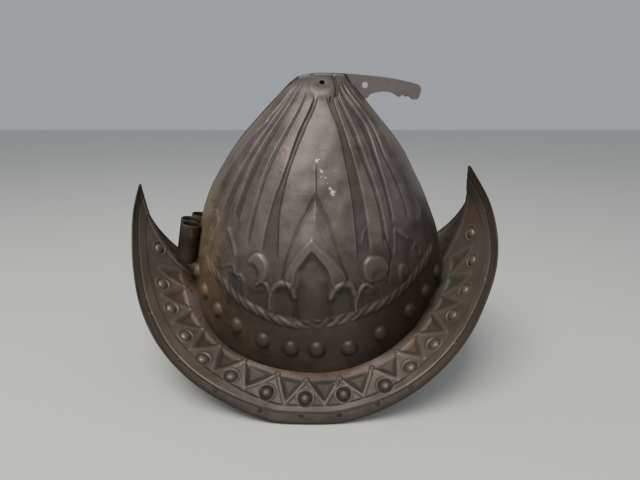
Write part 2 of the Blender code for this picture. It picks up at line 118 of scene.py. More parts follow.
# The disc at the top of the crown, and the holes in it and beside the plate
APEX_DISC = (93.5, 11.1)
APEX_DISC_RADIUS = 0.0125
APEX_DISC_RISE = 0.0007
APEX_DISC_SLOPE = 0.0025
APEX_DISC_MARGIN = 0.006
APEX_DIMPLE_RADIUS = 0.006
APEX_DIMPLE_DEPTH = 0.0006
APEX_DIMPLE_SLOPE = 0.003
CROWN_HOLES = [
    # turn, level, radius
    (93.5, 11.2, 0.0024),
    (171.0, 10.8, 0.0019),
]

# The border's beads: each a row with half its width, its rise and its places as turn and
# level, from one end to the other.
BEAD_FULLNESS = 1.25
BEADS = [
    # half width, rise, places
    (0.0031, 0.0019, [(81, 3.38), (80, 3.6), (77.5, 3.75), (75, 3.75), (72.5, 3.65), (71, 3.5)]),
    (0.0022, 0.0014, [(71, 3.5), (70, 3.2), (70, 3.0), (70, 2.8)]),
    (0.0022, 0.0017, [(63.5, 3.5), (65.5, 3.62), (67.5, 3.62), (69, 3.5), (70, 3.3)]),
    (0.0031, 0.0019, [
        (95.5, 3.38), (97, 3.6), (99.5, 3.75), (102.5, 3.75), (105, 3.65), (106, 3.4),
    ]),
    (0.0022, 0.0014, [(106.5, 3.4), (106.5, 3.2), (106, 3.0), (106, 2.8)]),
    (0.0022, 0.0017, [(114, 3.4), (112, 3.55), (110, 3.55), (108, 3.4), (107, 3.2)]),
    (0.0020, 0.0012, [(43, 3.4), (46, 3.6), (50, 3.7), (51.5, 3.5)]),
    (0.0018, 0.0013, [(53, 3.5), (55, 3.55), (57, 3.4)]),
    (0.0015, 0.0006, [(37.5, 3.6), (36.5, 3.7), (38, 4.1), (40, 4.4), (43.5, 4.7)]),
    (0.0032, 0.0012, [(43.5, 4.7), (46.0, 4.5), (48.5, 4.3), (50, 4.1)]),
    (0.0013, 0.0011, [(20.5, 4.2), (24, 4.6), (29, 4.9), (32, 4.8), (34, 4.6), (32, 4.2), (30, 3.8)]),
    (0.0013, 0.0010, [(30, 3.8), (29.5, 3.4), (29.5, 3.0), (35, 2.8), (40, 2.5)]),
    (0.0011, 0.0009, [(32, 8.9), (28, 8), (24.5, 7.3), (23.5, 6.8), (22, 6.1), (19, 4.9)]),
    (0.0024, 0.0011, [(127.5, 4.1), (129, 4.5), (130.5, 4.88), (134, 4.6), (137.5, 4.3)]),
    (0.0020, 0.0008, [(139.5, 3.8), (142, 3.9), (144.5, 3.6), (143.5, 3.4)]),
    (0.0016, 0.0005, [(88, 7.6), (88.5, 7.0), (89, 6.5)]),
    (0.0009, 0.0007, [(116, 5.4), (113, 5.2), (111.5, 4.9)]),
]

# Incised lines, in the same form: the sides of the kite over the leaf, the end of a groove
# beside the front lobe, and the crease in the crown.
LINES = [
    # half width, depth, places
    (0.0022, 0.0007, [
        (89, 6.6), (85.5, 6.1), (83, 5.8), (80.5, 5.4), (78.5, 5.0), (76.5, 4.5), (75, 3.9),
    ]),
    (0.0022, 0.0007, [(89, 6.6), (93, 6.1), (95.5, 5.8), (97.7, 5.3), (100, 4.7), (103.5, 3.9)]),
    (0.0013, 0.0010, [(124, 4.8), (126, 4.1), (124, 3.8), (121.5, 3.3)]),
    (0.0022, 0.0015, [(119.5, 12.0), (121.5, 11.3), (119.5, 10.6), (107, 10.3)]),
]

# Flat-topped or sunken fields of the border: the kite, the leaf's inside, the leaf and the
# hollows beside it
FORM_MARGIN = 0.001
FIELDS = [
    # height, slope, outline as turn and level
    (0.0018, 0.0120, [
        (89, 6.55), (83, 5.75), (78.7, 5.1), (75.3, 3.95), (80.5, 3.6), (80.5, 2.4), (96, 2.4),
        (96, 3.6), (103.2, 3.95), (98, 5.2), (93, 6.05),
    ]),
    (-0.0025, 0.0060, [
        (88, 4.95), (84.5, 4.66), (81.2, 4.3), (80.5, 3.9), (80.0, 3.5), (79.5, 2.4), (97.0, 2.4),
        (96.5, 3.5), (96.8, 3.9), (95.8, 4.3), (92, 4.66),
    ]),
    (0.0015, 0.0011, [
        (88, 5.25), (84.5, 5.02), (81, 4.72), (78.5, 4.42), (76.0, 3.95), (79.0, 3.60), (80.9, 3.85),
        (81.4, 4.14), (83.2, 4.36), (85.5, 4.58), (88, 4.80), (90.5, 4.60), (93.0, 4.38), (95.2, 4.12),
        (96.0, 3.82), (98.5, 3.58), (103.3, 3.95), (99.5, 4.42), (96, 4.72), (92, 4.97),
    ]),
    (-0.0019, 0.0058, [
        (71.0, 2.5), (71.3, 3.4), (73.5, 3.62), (77.5, 3.7), (80, 3.5), (82.5, 3.2), (82.5, 2.4),
    ]),
    (-0.0019, 0.0058, [
        (94.2, 2.4), (94.2, 3.2), (97, 3.5), (99.5, 3.7), (103.5, 3.66), (105.6, 3.4), (106, 2.5),
    ]),
    (-0.0010, 0.0050, [(58, 2.7), (58, 3.3), (63, 3.35), (67, 3.45), (69, 3.2), (69, 2.55)]),
    (-0.0010, 0.0050, [(107.5, 2.6), (108, 3.2), (110, 3.4), (114, 3.3), (118, 3.35), (118, 2.7)]),
    (-0.0008, 0.0030, [(47, 2.85), (46, 3.35), (50, 3.5), (54, 3.4), (56.5, 3.25), (56.5, 2.7)]),
]

# Scrolls and lobes: a raised disc-like form with a scoop that leaves a crescent above it
LOBE_EDGE = 0.0003
LOBE_CARRY = 0.3
LOBE_START = 0.1
SCOOP_SLOPE = 0.0055
LOBES = [
    # rise, slope, scoop's turn, level, radius and depth, outline
    (0.0023, 0.0030, (59.6, 3.74), 0.0118, 0.0021, [
        (56.5, 3.9), (57.5, 4.15), (60, 4.4), (63, 4.5), (66, 4.42), (68.6, 4.2), (69, 3.95),
        (67.5, 3.68), (64.5, 3.58), (60, 3.5), (57, 3.62),
    ]),
    (0.0023, 0.0030, (118.6, 3.58), 0.0112, 0.0015, [
        (110, 4.05), (111, 4.28), (114, 4.42), (118, 4.36), (121, 4.24), (123, 4.0), (123.5, 3.75),
        (121.5, 3.5), (117, 3.45), (113, 3.55), (110.5, 3.75),
    ]),
    (0.0017, 0.0024, (130.0, 3.05), 0.0060, 0.0008, [
        (127, 3.3), (128.5, 3.62), (131, 3.66), (133.5, 3.5), (134, 3.25), (131, 3.0), (128, 3.0),
    ]),
]

# Bosses as turn and level, and the rope's line as turn and level
BOWL_BOSSES = [
    (17, 1.5), (29, 1.5), (41, 1.5), (53.5, 1.5), (67, 1.4), (79, 1.35),
    (89.5, 1.4), (102.5, 1.3), (116.5, 1.4), (132, 1.55), (144, 1.6), (157, 1.6),
]
BOWL_BOSS_RADIUS = 0.0068
BOWL_BOSS_RISE = 0.0044
FILLET_SHARE = 0.14
FILLET_REACH = 1.35
ROPE_LINE = [
    (22, 3.05), (34, 3.0), (46, 2.9), (54.5, 2.7), (64.5, 2.6), (74.5, 2.5), (88, 2.5),
    (99.5, 2.6), (110.5, 2.7), (119.5, 2.7), (129.5, 2.8), (140, 2.9), (152, 3.0), (164, 3.05),
]
ROPE_HALF_WIDTH = 0.0040
ROPE_RISE = 0.0018
ROPE_PITCH = 0.0105
ROPE_LAY = 1.5
ROPE_FOLD_TURN = 90.0
ROPE_END_FADE = 12
ROPE_ROOT = 0.15
ROPE_ROUNDNESS = 0.6

# The unevenness of the sheet fades towards the foot, and all the relief towards the seam
BOWL_DENTS = {"seed": 11, "coarse": 0.00035, "fine": 0.00005}
DENTS_FOOT_LEVEL = 0.1
DENTS_FOOT_FADE = 0.8
SEAM_FADE_TURNS = 2.5
CROWN_FADE_LEVELS = 0.25

# The mesh: rows of faces by level, a coarser underside, the bands along the seam and
# round the foot that the finish reads, and the cutter for the holes
BOWL_COLUMNS = 432
BOWL_ROW_ZONES = [
    # from level, to level, rows
    (COLLAR_LEVEL, 6.8, 144),
    (6.8, 10.0, 38),
    (10.0, CROWN_LEVEL, 24),
]
CROWN_SLOPE_LEVEL = CROWN_LEVEL - 0.02
UNDER_STEP = 4
STEEPEST_EDGE = 0.3
SHARP_ANGLE = math.radians(55)
BOWL_SEAM_BAND = 0.0006
SEAM_BAND_FADE = 0.0012
FOOT_BAND_LEVELS = 0.9
BORE_SIDES = 28
BORE_LENGTH = 0.012
SLIVER = 2e-6
NUDGE = 1e-6
TINY = 1e-12


def through(rows, place):
    """Values on a smooth curve through a table's rows, at places 0 to len(rows) - 1."""
    rows = np.array(rows, float)
    rows = np.vstack([2 * rows[0] - rows[1], rows, 2 * rows[-1] - rows[-2]])
    place = np.asarray(place, float)
    index = np.clip(np.floor(place).astype(int), 0, len(rows) - 4)
    u = (place - index)[..., None]
    a, b, c, d = (rows[index + k] for k in range(4))
    bend = (2 * a - 5 * b + 4 * c - d) * u**2 + (3 * b - a - 3 * c + d) * u**3
    return 0.5 * (2 * b + (c - a) * u + bend)


def ramp(value):
    """0 below 0, 1 above 1, and smooth between."""
    t = np.clip(value, 0.0, 1.0)
    return t * t * (3 - 2 * t)


def unit(vectors):
    """The vectors at length 1."""
    length = np.linalg.norm(vectors, axis=-1, keepdims=True)
    return vectors / np.maximum(length, TINY)


def bowl(turn, level):
    """Points on the bowl's plain outer face, on its -Y side."""
    turn, level = np.broadcast_arrays(np.asarray(turn, float), np.asarray(level, float))
    section = through(BOWL_SECTIONS, level)
    rear, front = -section[..., 0] * BOWL_REAR, section[..., 4] * BOWL_FRONT
    ahead, across = -np.cos(np.radians(turn)), np.sin(np.radians(turn))
    x = (rear + front) / 2 + (front - rear) / 2 * ahead
    y = -np.sign(across) * section[..., 2] * BOWL_HALF_WIDTH * np.abs(across) ** END_POINTING
    blunt = np.where(ahead > 0, BLUNT_FRONT, BLUNT_REAR)
    blunt = blunt * np.clip(1 - level / BLUNT_BELOW_LEVEL, 0, None)
    end = np.where(ahead > 0, section[..., 5], section[..., 1])
    rise = (1 - blunt) * ahead**2 + blunt * ahead**8
    z = (section[..., 3] + (end - section[..., 3]) * rise) * CROWN_HEIGHT
    return np.stack([x + MIDDLE, y, z], axis=-1)


def normals(surface, turn, row):
    """Unit normals of a surface, on the right of a walk up it from turn to turn."""
    along = surface(turn + 0.5, row) - surface(turn - 0.5, row)
    up = surface(turn, row + 0.01) - surface(turn, row - 0.01)
    return unit(np.cross(along, up))


def seam_offset(turn, level):
    """How far the seam edge stands off the middle plane; the crown parts for the plate."""
    crown = ramp(level - CROWN_PART_LEVEL) * ramp(turn / CROWN_PART_TURN)
    return WALL + PIECE_GAP + crown * CROWN_PARTING


def path_on(surface, places, steps=6):
    """A smooth path of points on a surface through places given as turn and row."""
    places = through(places, np.linspace(0, len(places) - 1, (len(places) - 1) * steps + 1))
    return surface(places[:, 0], places[:, 1])


def from_centre(points, centre):
    """Distance from each point to a centre."""
    return np.linalg.norm(points - centre, axis=-1)


def nearest(points, path):
    """Distance from each point to a path, and the way along the path to there."""
    best = np.full(points.shape[:-1], np.inf)
    way = np.zeros(points.shape[:-1])
    run = 0.0
    for start, stop in zip(path[:-1], path[1:]):
        leg = stop - start
        length = np.linalg.norm(leg)
        share = np.clip(((points - start) @ leg) / length**2, 0, 1)
        distance = from_centre(points - start, share[..., None] * leg)
        closer = distance < best
        best = np.where(closer, distance, best)
        way = np.where(closer, run + share * length, way)
        run += length
    return best, way


def close_to(points, path, reach):
    """Which points lie within reach of the box round a path."""
    low, high = path.min(0) - reach, path.max(0) + reach
    return np.all((points > low) & (points < high), axis=-1)


def add_beads(height, points, surface, beads, sign):
    """Raise or sink rows with rounded tops along their paths; crossings don't add up."""
    total = np.zeros(height.shape)
    for half_width, rise, places in beads:
        path = path_on(surface, places)
        close = close_to(points, path, half_width)
        distance, _ = nearest(points[close], path)
        bead = rise * ramp(BEAD_FULLNESS * (1 - distance / half_width))
        total[close] = np.maximum(total[close], bead)
    height += sign * total


def add_dome(height, points, centre, radius, rise):
    """Raise a round boss with a small fillet at its foot."""
    share = from_centre(points, centre) / radius
    dome = np.sqrt(np.clip(1 - share**2, 0, 1))
    height += rise * ((1 - FILLET_SHARE) * dome + FILLET_SHARE * ramp(FILLET_REACH - share))


def depth_inside(points, outline):
    """How far each point lies inside a closed outline on a nearly flat face."""
    centre = outline.mean(0)
    axes = np.linalg.svd(outline - centre)[2]
    flat = (points - centre) @ axes.T
    ring = (outline - centre) @ axes.T
    inside = np.zeros(len(points), bool)
    for (x0, y0), (x1, y1) in zip(ring[:, :2], np.roll(ring[:, :2], -1, axis=0)):
        crosses = (y0 > flat[:, 1]) != (y1 > flat[:, 1])
        slope = (x1 - x0) / (y1 - y0 if y1 != y0 else TINY)
        inside ^= crosses & (flat[:, 0] < x0 + (flat[:, 1] - y0) * slope)
    distance, _ = nearest(points, np.vstack([outline, outline[:1]]))
    return np.where(inside, distance, -distance)


def dents(points, seed, coarse, fine):
    """Soft unevenness of hand-worked sheet: waves of random direction and size."""
    chance = np.random.default_rng(seed)
    height = np.zeros(points.shape[:-1])
    for wavelength, amplitude, count in (
        (0.055, coarse, 10),
        (0.022, coarse * 0.5, 14),
        (0.009, fine, 18),
    ):
        for _ in range(count):
            direction = unit(chance.normal(size=3))
            wave = direction * math.tau / (wavelength * chance.uniform(0.7, 1.3))
            phase = chance.uniform(0, math.tau)
            height += amplitude / math.sqrt(count) * np.sin(points @ wave + phase)
    return height


def groove_depth(turn, level, degree):
    """How deep the grooves between the ribs lie, from the bowl's levels and turns."""
    place = np.interp(level, GROOVE_LEVELS, range(len(GROOVE_LEVELS)))
    depth = np.zeros(turn.shape)
    for deep, bottom, rear_edge, front_edge in GROOVES:
        rear = through([[v] for v in rear_edge], place)[..., 0]
        front = through([[v] for v in front_edge], place)[..., 0]
        within = ramp((turn - rear) * degree / GROOVE_EDGE + 0.5)
        within = within * ramp((front - turn) * degree / GROOVE_EDGE + 0.5)
        depth = np.maximum(depth, deep * within * ramp((level - bottom) / GROOVE_END_FADE + 0.5))
    return depth


def bowl_relief(turn, level, points, side):
    """Height of the embossing at each point of the bowl."""
    degree = from_centre(bowl(turn + 0.5, level), bowl(turn - 0.5, level))
    from_disc = from_centre(points, bowl(*APEX_DISC))
    ribbed = ramp((level - RIB_FOOT_LEVEL) / RIB_FOOT_FADE)
    ribbed = ribbed * ramp((from_disc - APEX_DISC_RADIUS) / APEX_DISC_MARGIN)
    ribbed = ribbed * ramp((RIB_TOP_LEVEL - level) / RIB_TOP_FADE)
    height = ribbed * (RIB_RISE - groove_depth(turn, level, degree))
    disc = APEX_DISC_RISE * ramp((APEX_DISC_RADIUS - from_disc) / APEX_DISC_SLOPE)
    height += disc - APEX_DIMPLE_DEPTH * ramp((APEX_DIMPLE_RADIUS - from_disc) / APEX_DIMPLE_SLOPE)
    for rise, slope, places in FIELDS:
        outline = path_on(bowl, places + places[:1], 3)[:-1]
        close = close_to(points, outline, FORM_MARGIN)
        height[close] += rise * ramp(depth_inside(points[close], outline) / slope)
    for rise, slope, scoop, radius, deep, places in LOBES:
        outline = path_on(bowl, places + places[:1], 4)[:-1]
        close = close_to(points, outline, FORM_MARGIN)
        inside = depth_inside(points[close], outline)
        from_scoop = from_centre(points[close], bowl(*scoop))
        form = rise * ramp(inside / slope + LOBE_START)
        form = form - deep * ramp((radius - from_scoop) / SCOOP_SLOPE)
        form = np.maximum(form, height[close] * LOBE_CARRY)
        height[close] = np.where(inside > -LOBE_EDGE, form, height[close])
    add_beads(height, points, bowl, BEADS, 1)
    add_beads(height, points, bowl, LINES, -1)
    rope = path_on(bowl, ROPE_LINE, 8)
    close = close_to(points, rope, ROPE_HALF_WIDTH)
    distance, way = nearest(points[close], rope)
    rope_level = np.interp(turn[close], *zip(*ROPE_LINE))
    across = np.where(level[close] > rope_level, distance, -distance) / ROPE_HALF_WIDTH
    order = np.argsort(turn[close])
    fold = np.interp(ROPE_FOLD_TURN, turn[close][order], way[order])
    strand = np.abs(way - fold) / ROPE_PITCH - ROPE_LAY * 0.5 * across
    lay = np.abs(np.sin(math.pi * strand))
    ends = ramp((turn[close] - ROPE_LINE[0][0]) / ROPE_END_FADE)
    ends = ends * ramp((ROPE_LINE[-1][0] - turn[close]) / ROPE_END_FADE)
    strands = ROPE_ROOT + (1 - ROPE_ROOT) * lay**ROPE_ROUNDNESS
    height[close] += ROPE_RISE * np.sqrt(np.clip(1 - across**2, 0, 1)) * strands * ends
    for places in BOWL_BOSSES:
        add_dome(height, points, bowl(*places), BOWL_BOSS_RADIUS, BOWL_BOSS_RISE)
    edge = ramp(np.minimum(turn, 180 - turn) / SEAM_FADE_TURNS)
    edge = edge * ramp((CROWN_LEVEL - level) / CROWN_FADE_LEVELS)
    uneven = dents(points * (1, side, 1), **BOWL_DENTS)
    uneven = uneven * ramp((level - DENTS_FOOT_LEVEL) / DENTS_FOOT_FADE)
    return (height + uneven) * edge


def crests(height, reach=3):
    """How far each corner of a grid stands above the corners round it, in millimetres."""
    around = height
    width = 2 * reach
    for _ in range(2):
        running = np.cumsum(np.pad(around, ((reach, reach), (0, 0)), "edge"), axis=0)
        around = ((running[width:] - running[:-width]) / width).T
    return (height - around) * 1000


def stand(name, data):
    """A new object in the scene."""
    made = bpy.data.objects.new(name, data)
    bpy.context.scene.collection.objects.link(made)
    return made


def rim_of(grid):
    """The numbers round the edge of a grid, in the order of its faces."""
    return np.concatenate([grid[:-1, 0], grid[-1, :-1], grid[:0:-1, -1], grid[0, :0:-1]])


def sheet_body(name, top, under, column_marks, row_marks, side, signals):
    """A closed sheet from a fine upper grid and an under grid with corners at the marks."""
    number = np.arange(top.shape[0] * top.shape[1]).reshape(top.shape[:2])
    below = number.size + np.arange(under.shape[0] * under.shape[1]).reshape(under.shape[:2])

    def quads(grid):
        corners = (grid[:-1, :-1], grid[1:, :-1], grid[1:, 1:], grid[:-1, 1:])
        return np.stack(corners, axis=-1).reshape(-1, 4)

    faces = quads(number).tolist() + quads(below)[:, ::-1].tolist()
    loop = rim_of(number).tolist()
    place = {corner: index for index, corner in enumerate(loop)}
    marked = rim_of(number[np.ix_(column_marks, row_marks)]).tolist()
    low_loop = rim_of(below).tolist()
    for index, corner in enumerate(marked):
        after = (index + 1) % len(marked)
        start, stop = place[corner], place[marked[after]] or len(loop)
        stretch = [loop[k % len(loop)] for k in range(stop, start - 1, -1)]
        faces.append(stretch + [low_loop[index], low_loop[after]])
    points = np.vstack([top.reshape(-1, 3), under.reshape(-1, 3)])
    if side > 0:
        points = points * (1, -1, 1)
        faces = [face[::-1] for face in faces]
    mesh = bpy.data.meshes.new(name)
    mesh.from_pydata(points, [], faces)
    for label, values in signals.items():
        spread = np.zeros(len(points), np.float32)
        spread[:number.size] = values.ravel()
        mesh.attributes.new(label, "FLOAT", "POINT").data.foreach_set("value", spread)
    mesh.shade_smooth()
    mesh.set_sharp_from_angle(angle=SHARP_ANGLE)
    return stand(name, mesh)


def seam_band(points, width):
    """1 on the edge along the seam, fading to 0 just inside it."""
    inset = np.minimum(from_centre(points, points[:1]), from_centre(points, points[-1:]))
    return ramp(1 - (inset - width) / SEAM_BAND_FADE)


def bowl_half(name, side):
    """One half of the bowl, with its flange along the seam and over the crown."""
    turns = np.linspace(0, 180, BOWL_COLUMNS + 1)
    zones = [np.linspace(low, high, count, endpoint=False) for low, high, count in BOWL_ROW_ZONES]
    levels = np.append(np.concatenate(zones), CROWN_LEVEL)
    turns = np.concatenate([turns[:1], turns, turns[-1:]])
    levels = np.append(levels, CROWN_LEVEL)
    turn, level = np.meshgrid(turns, levels, indexing="ij")
    points = bowl(turn, level)
    facing = normals(bowl, turn, np.minimum(level, CROWN_SLOPE_LEVEL))
    height = bowl_relief(turn, level, points, side)
    outward = np.zeros(points.shape)
    outward[[0, -1]] = unit(facing[[0, -1]] * (1, 0, 1))
    outward[:, -1] += (0, 0, 1)
    outward = unit(outward)
    offset = seam_offset(turn, level)[..., None] * (0, 1, 0)
    top = points + facing * height[..., None] - offset + outward * SEAM_FLANGE

    column_marks = np.concatenate([[0], np.arange(1, len(turns) - 1, UNDER_STEP), [len(turns) - 1]])
    row_marks = np.append(np.arange(0, len(levels) - 1, UNDER_STEP), len(levels) - 1)
    picked = np.ix_(column_marks, row_marks)
    under = (top - facing * WALL)[picked]
    edge = np.zeros(turn.shape, bool)
    edge[[0, 1, -2, -1]] = True
    edge[:, -2:] = True
    plane = unit(np.where(edge[..., None], facing * (1, 0, 1) + outward * NUDGE, 1))
    rise = WALL * (1 + facing[..., 1]) / np.maximum((facing * plane).sum(-1), STEEPEST_EDGE)
    rise = np.where(np.linalg.norm(outward, axis=-1) > 0, 0, rise)
    inner_edge = top + np.array([0, WALL + SEAM_FILL, 0]) - rise[..., None] * plane
    under = np.where(edge[picked][..., None], inner_edge[picked], under)
    signals = {
        "crest": crests(height),
        "foot": ramp(1 - (level - COLLAR_LEVEL) / FOOT_BAND_LEVELS),
        "relief": height * 1000,
        "seam": seam_band(points, BOWL_SEAM_BAND),
        "level": level,
    }
    body = sheet_body(name, top, under, column_marks, row_marks, side, signals)
    for turn, level, radius in CROWN_HOLES:
        flip = (1, -side, 1)
        bore(body, bowl(turn, level) * flip, normals(bowl, turn, level) * flip, radius)
    return body


def bore(body, centre, axis, radius):
    """Cut a round hole through a sheet and clear the slivers that the cut leaves."""
    bpy.ops.mesh.primitive_cylinder_add(
        vertices=BORE_SIDES, radius=radius, depth=BORE_LENGTH, location=centre
    )
    cutter = bpy.context.object
    cutter.rotation_euler = Vector(axis).to_track_quat("Z", "Y").to_euler()
    cut = body.modifiers.new("hole", "BOOLEAN")
    cut.operation = "DIFFERENCE"
    cut.solver = "MANIFOLD"
    cut.object = cutter
    with bpy.context.temp_override(object=body, active_object=body):
        bpy.ops.object.modifier_apply(modifier=cut.name)
    bpy.data.objects.remove(cutter)
    shape = bmesh.new()
    shape.from_mesh(body.data)
    bmesh.ops.dissolve_degenerate(shape, dist=SLIVER, edges=shape.edges)
    loose = [corner for corner in shape.verts if len(corner.link_edges) == 2]
    bmesh.ops.dissolve_verts(shape, verts=loose)
    shape.to_mesh(body.data)
    shape.free()


class Wire:
    """A value in a material's nodes, with arithmetic written on it."""

    def __init__(self, tree, socket=None):
        self.tree = tree
        self.socket = socket

    def node(self, kind, settings=(), sockets=(), output=0):
        """Add a node with its settings, then the values or links of its sockets."""
        made = self.tree.nodes.new("ShaderNode" + kind)
        for name, value in dict(settings).items():
            setattr(made, name, value)
        for name, value in dict(sockets).items():
            if isinstance(value, Wire):
                self.tree.links.new(value.socket, made.inputs[name])
            else:
                made.inputs[name].default_value = value
        return Wire(self.tree, made.outputs[output])

    def math(self, operation, *values):
        return self.node("Math", {"operation": operation}, enumerate(values))

    def __add__(self, other):
        return self.math("ADD", self, other)

    def __sub__(self, other):
        return self.math("SUBTRACT", self, other)

    def __rsub__(self, other):
        return self.math("SUBTRACT", other, self)

    def __mul__(self, other):
        return self.math("MULTIPLY", self, other)

    __radd__ = __add__
    __rmul__ = __mul__

    def signal(self, name):
        """The values of a mark that the mesh carries."""
        return self.node("Attribute", {"attribute_name": name}, {}, 2)

    def axis(self, index):
        """One coordinate; self is the place."""
        return self.node("SeparateXYZ", {}, {"Vector": self}, index)

    def between(self, low, high):
        """0 at low, 1 at high and smooth between, held outside them."""
        settings = {"interpolation_type": "SMOOTHSTEP"}
        return self.node("MapRange", settings, {"Value": self, "From Min": low, "From Max": high})

    def noise(self, scale, detail=4.0, roughness=0.55):
        """Cloudy noise on the piece, scale in lumps a metre; self is the place."""
        sockets = {"Vector": self, "Scale": scale, "Detail": detail, "Roughness": roughness}
        return self.node("TexNoise", {}, sockets)

    def tint(self, base, colour):
        """The base colour, turned to another where self is 1."""
        return self.node("Mix", {"data_type": "RGBA"}, {0: self, 6: base, 7: colour}, 2)

    def away(self, centre, spread=(1, 1, 1)):
        """Distance from a centre, each axis divided by its spread; self is the place."""
        offset = self.node("VectorMath", {"operation": "SUBTRACT"}, {0: self, 1: tuple(centre)})
        scaled = self.node("VectorMath", {"operation": "DIVIDE"}, {0: offset, 1: spread})
        return self.node("VectorMath", {"operation": "LENGTH"}, {0: scaled}, 1)

    def patch(self, centre, spread, core):
        """1 in the core of a soft patch, that share of its spread, and 0 outside it."""
        return self.away(centre, spread).between(1.0, core)


def new_finish(name):
    """A material's tree, its shader node and the place on the piece."""
    finish = bpy.data.materials.new(name)
    finish.use_nodes = True
    tree = finish.node_tree
    wire = Wire(tree)
    place = wire.node("TexCoord", {}, {}, 3)
    return finish, tree.nodes["Principled BSDF"], wire, place


def covered(colour, *covers):
    """A base colour under covers, each a mask and a colour, the first one lowest."""
    for mask, tone in covers:
        colour = mask.tint(colour, tone)
    return colour


def plug(shader, **links):
    """Link wires to the shader's sockets, named with underscores for spaces."""
    for name, wire in links.items():
        wire.tree.links.new(wire.socket, shader.inputs[name.replace("_", " ")])


def blackened(name, dark, light, worn):
    """Blackened steel: cloudy oxide, bare crests, dirt, fine scratches, and painted highlight and
    shade on the relief.
    """
    finish, shader, wire, place = new_finish(name)
    crest = wire.signal("crest")
    relief = wire.signal("relief")
    clouds = place.noise(14, 6, 0.6)
    mottle = place.noise(75, 5, 0.65)
    grain = place.noise(620, 3, 0.6)
    colour = (clouds * 0.7 + mottle * 0.5 - 0.1).between(0.32, 0.68).tint(dark, light)
    # Painted light from the relief: raised parts get a painted highlight, sunk parts painted shade
    raised = (relief + (mottle - 0.5) * 0.5).between(-0.1, 1.5)
    sunk_shade = (0.0 - relief + (mottle - 0.5) * 0.3).between(-0.1, 1.1)
    wear = (crest + (mottle - 0.5) * 0.25).between(0.08, 0.50)
    dirt = (0.5 - crest + (mottle - 0.5) * 0.3).between(0.58, 1.05)
    # One dark tone for the dirt in creases, for the painted shade in sunk parts and for the seam
    grime_and_shade = tuple(channel * 0.40 for channel in dark[:3]) + (1.0,)
    specks = place.noise(430, 2, 0.5).between(0.66, 0.74) * mottle.between(0.35, 0.65)
    colour = covered(
        colour,
        # painted highlight on raised relief, mixed with real wear on the crests
        (raised * 0.13 + wear * 0.16, worn),
        # painted shade in the sunk relief
        (sunk_shade * 0.46, grime_and_shade),
        (dirt * 0.40, grime_and_shade),
        (specks * 0.42, worn),
        (wire.signal("seam") * 0.8, grime_and_shade),
    )
    drawn_out = {"Vector": place, "Rotation": (0.4, 0.7, 0.2), "Scale": (9, 140, 60)}
    scratches = wire.node("Mapping", {}, drawn_out).noise(6, 3, 0.5).between(0.60, 0.72)
    rough = 0.47 + (mottle - 0.5) * 0.30 + dirt * 0.18 + sunk_shade * 0.08 - wear * 0.08
    bumps = grain * 0.40 + mottle * 0.9 + scratches * 0.2 + specks * 0.2
    normal = wire.node("Bump", {}, {"Strength": 0.36, "Distance": 0.0008, "Height": bumps})
    shader.inputs["Metallic"].default_value = OXIDE_METALLIC
    return finish, shader, wire, place, colour, rough, normal, mottle, clouds


OXIDE_DARK = (0.060, 0.048, 0.042, 1.0)
OXIDE_LIGHT = (0.128, 0.106, 0.096, 1.0)
# Colour of worn oxide, and also of the painted highlight on raised relief
OXIDE_WORN_AND_HIGHLIGHT = (0.270, 0.232, 0.210, 1.0)
OXIDE_METALLIC = 0.45
TAN_DUST = (0.225, 0.163, 0.092, 1.0)
BROWN_DUST = (0.140, 0.088, 0.052, 1.0)
RUST = (0.205, 0.070, 0.025, 1.0)
# Dark tone for grime, also used for painted shade low on the bowl, in the brim's hollows and on its
# far half
GRIME_AND_SHADE = (0.023, 0.015, 0.008, 1.0)
PAINT_WHITE = (0.50, 0.45, 0.43, 1.0)
PAINT_RED = (0.36, 0.14, 0.07, 1.0)
CHIP_RAGGEDNESS = 0.012
WHITE_CHIPS = [
    # turn, level, radius
    (89.6, 7.78, 0.0015), (90.3, 7.66, 0.0017), (90.7, 7.50, 0.0011), (92.2, 7.42, 0.0010),
    (93.4, 7.22, 0.0012), (95.4, 7.02, 0.0008), (97.0, 6.84, 0.0011), (98.0, 6.68, 0.0014),
    (98.8, 6.58, 0.0012), (100.2, 6.50, 0.0009),
]
RED_SPOTS = [
    # turn, level, radius
    (66.0, 8.15, 0.0026), (66.4, 7.96, 0.0018), (67.0, 7.62, 0.0011), (68.0, 7.30, 0.0012),
]


def spots(place, mottle, marks):
    """1 in ragged spots at marks given as turn, level and radius."""
    total = None
    for turn, level, radius in marks:
        ragged = place.away(bowl(turn, level)) + (mottle - 0.5) * CHIP_RAGGEDNESS
        spot = ragged.between(radius * 1.15, radius * 0.85)
        total = spot if total is None else total.math("MAXIMUM", total, spot)
    return total


bowl_finish, shader, wire, place, colour, rough, normal, mottle, clouds = blackened(
    "blackened_bowl", OXIDE_DARK, OXIDE_LIGHT, OXIDE_WORN_AND_HIGHLIGHT
)
foot = wire.signal("foot")
fine = place.noise(260, 4, 0.6)
# Darker towards the bottom of the bowl: dirt together with painted shade on the low wall
low = (wire.signal("level") + (clouds - 0.5) * 1.3).between(5.6, 1.3)
grimy = place.patch((0.085, -0.060, 0.065), (0.070, 0.060, 0.070), 0.3)
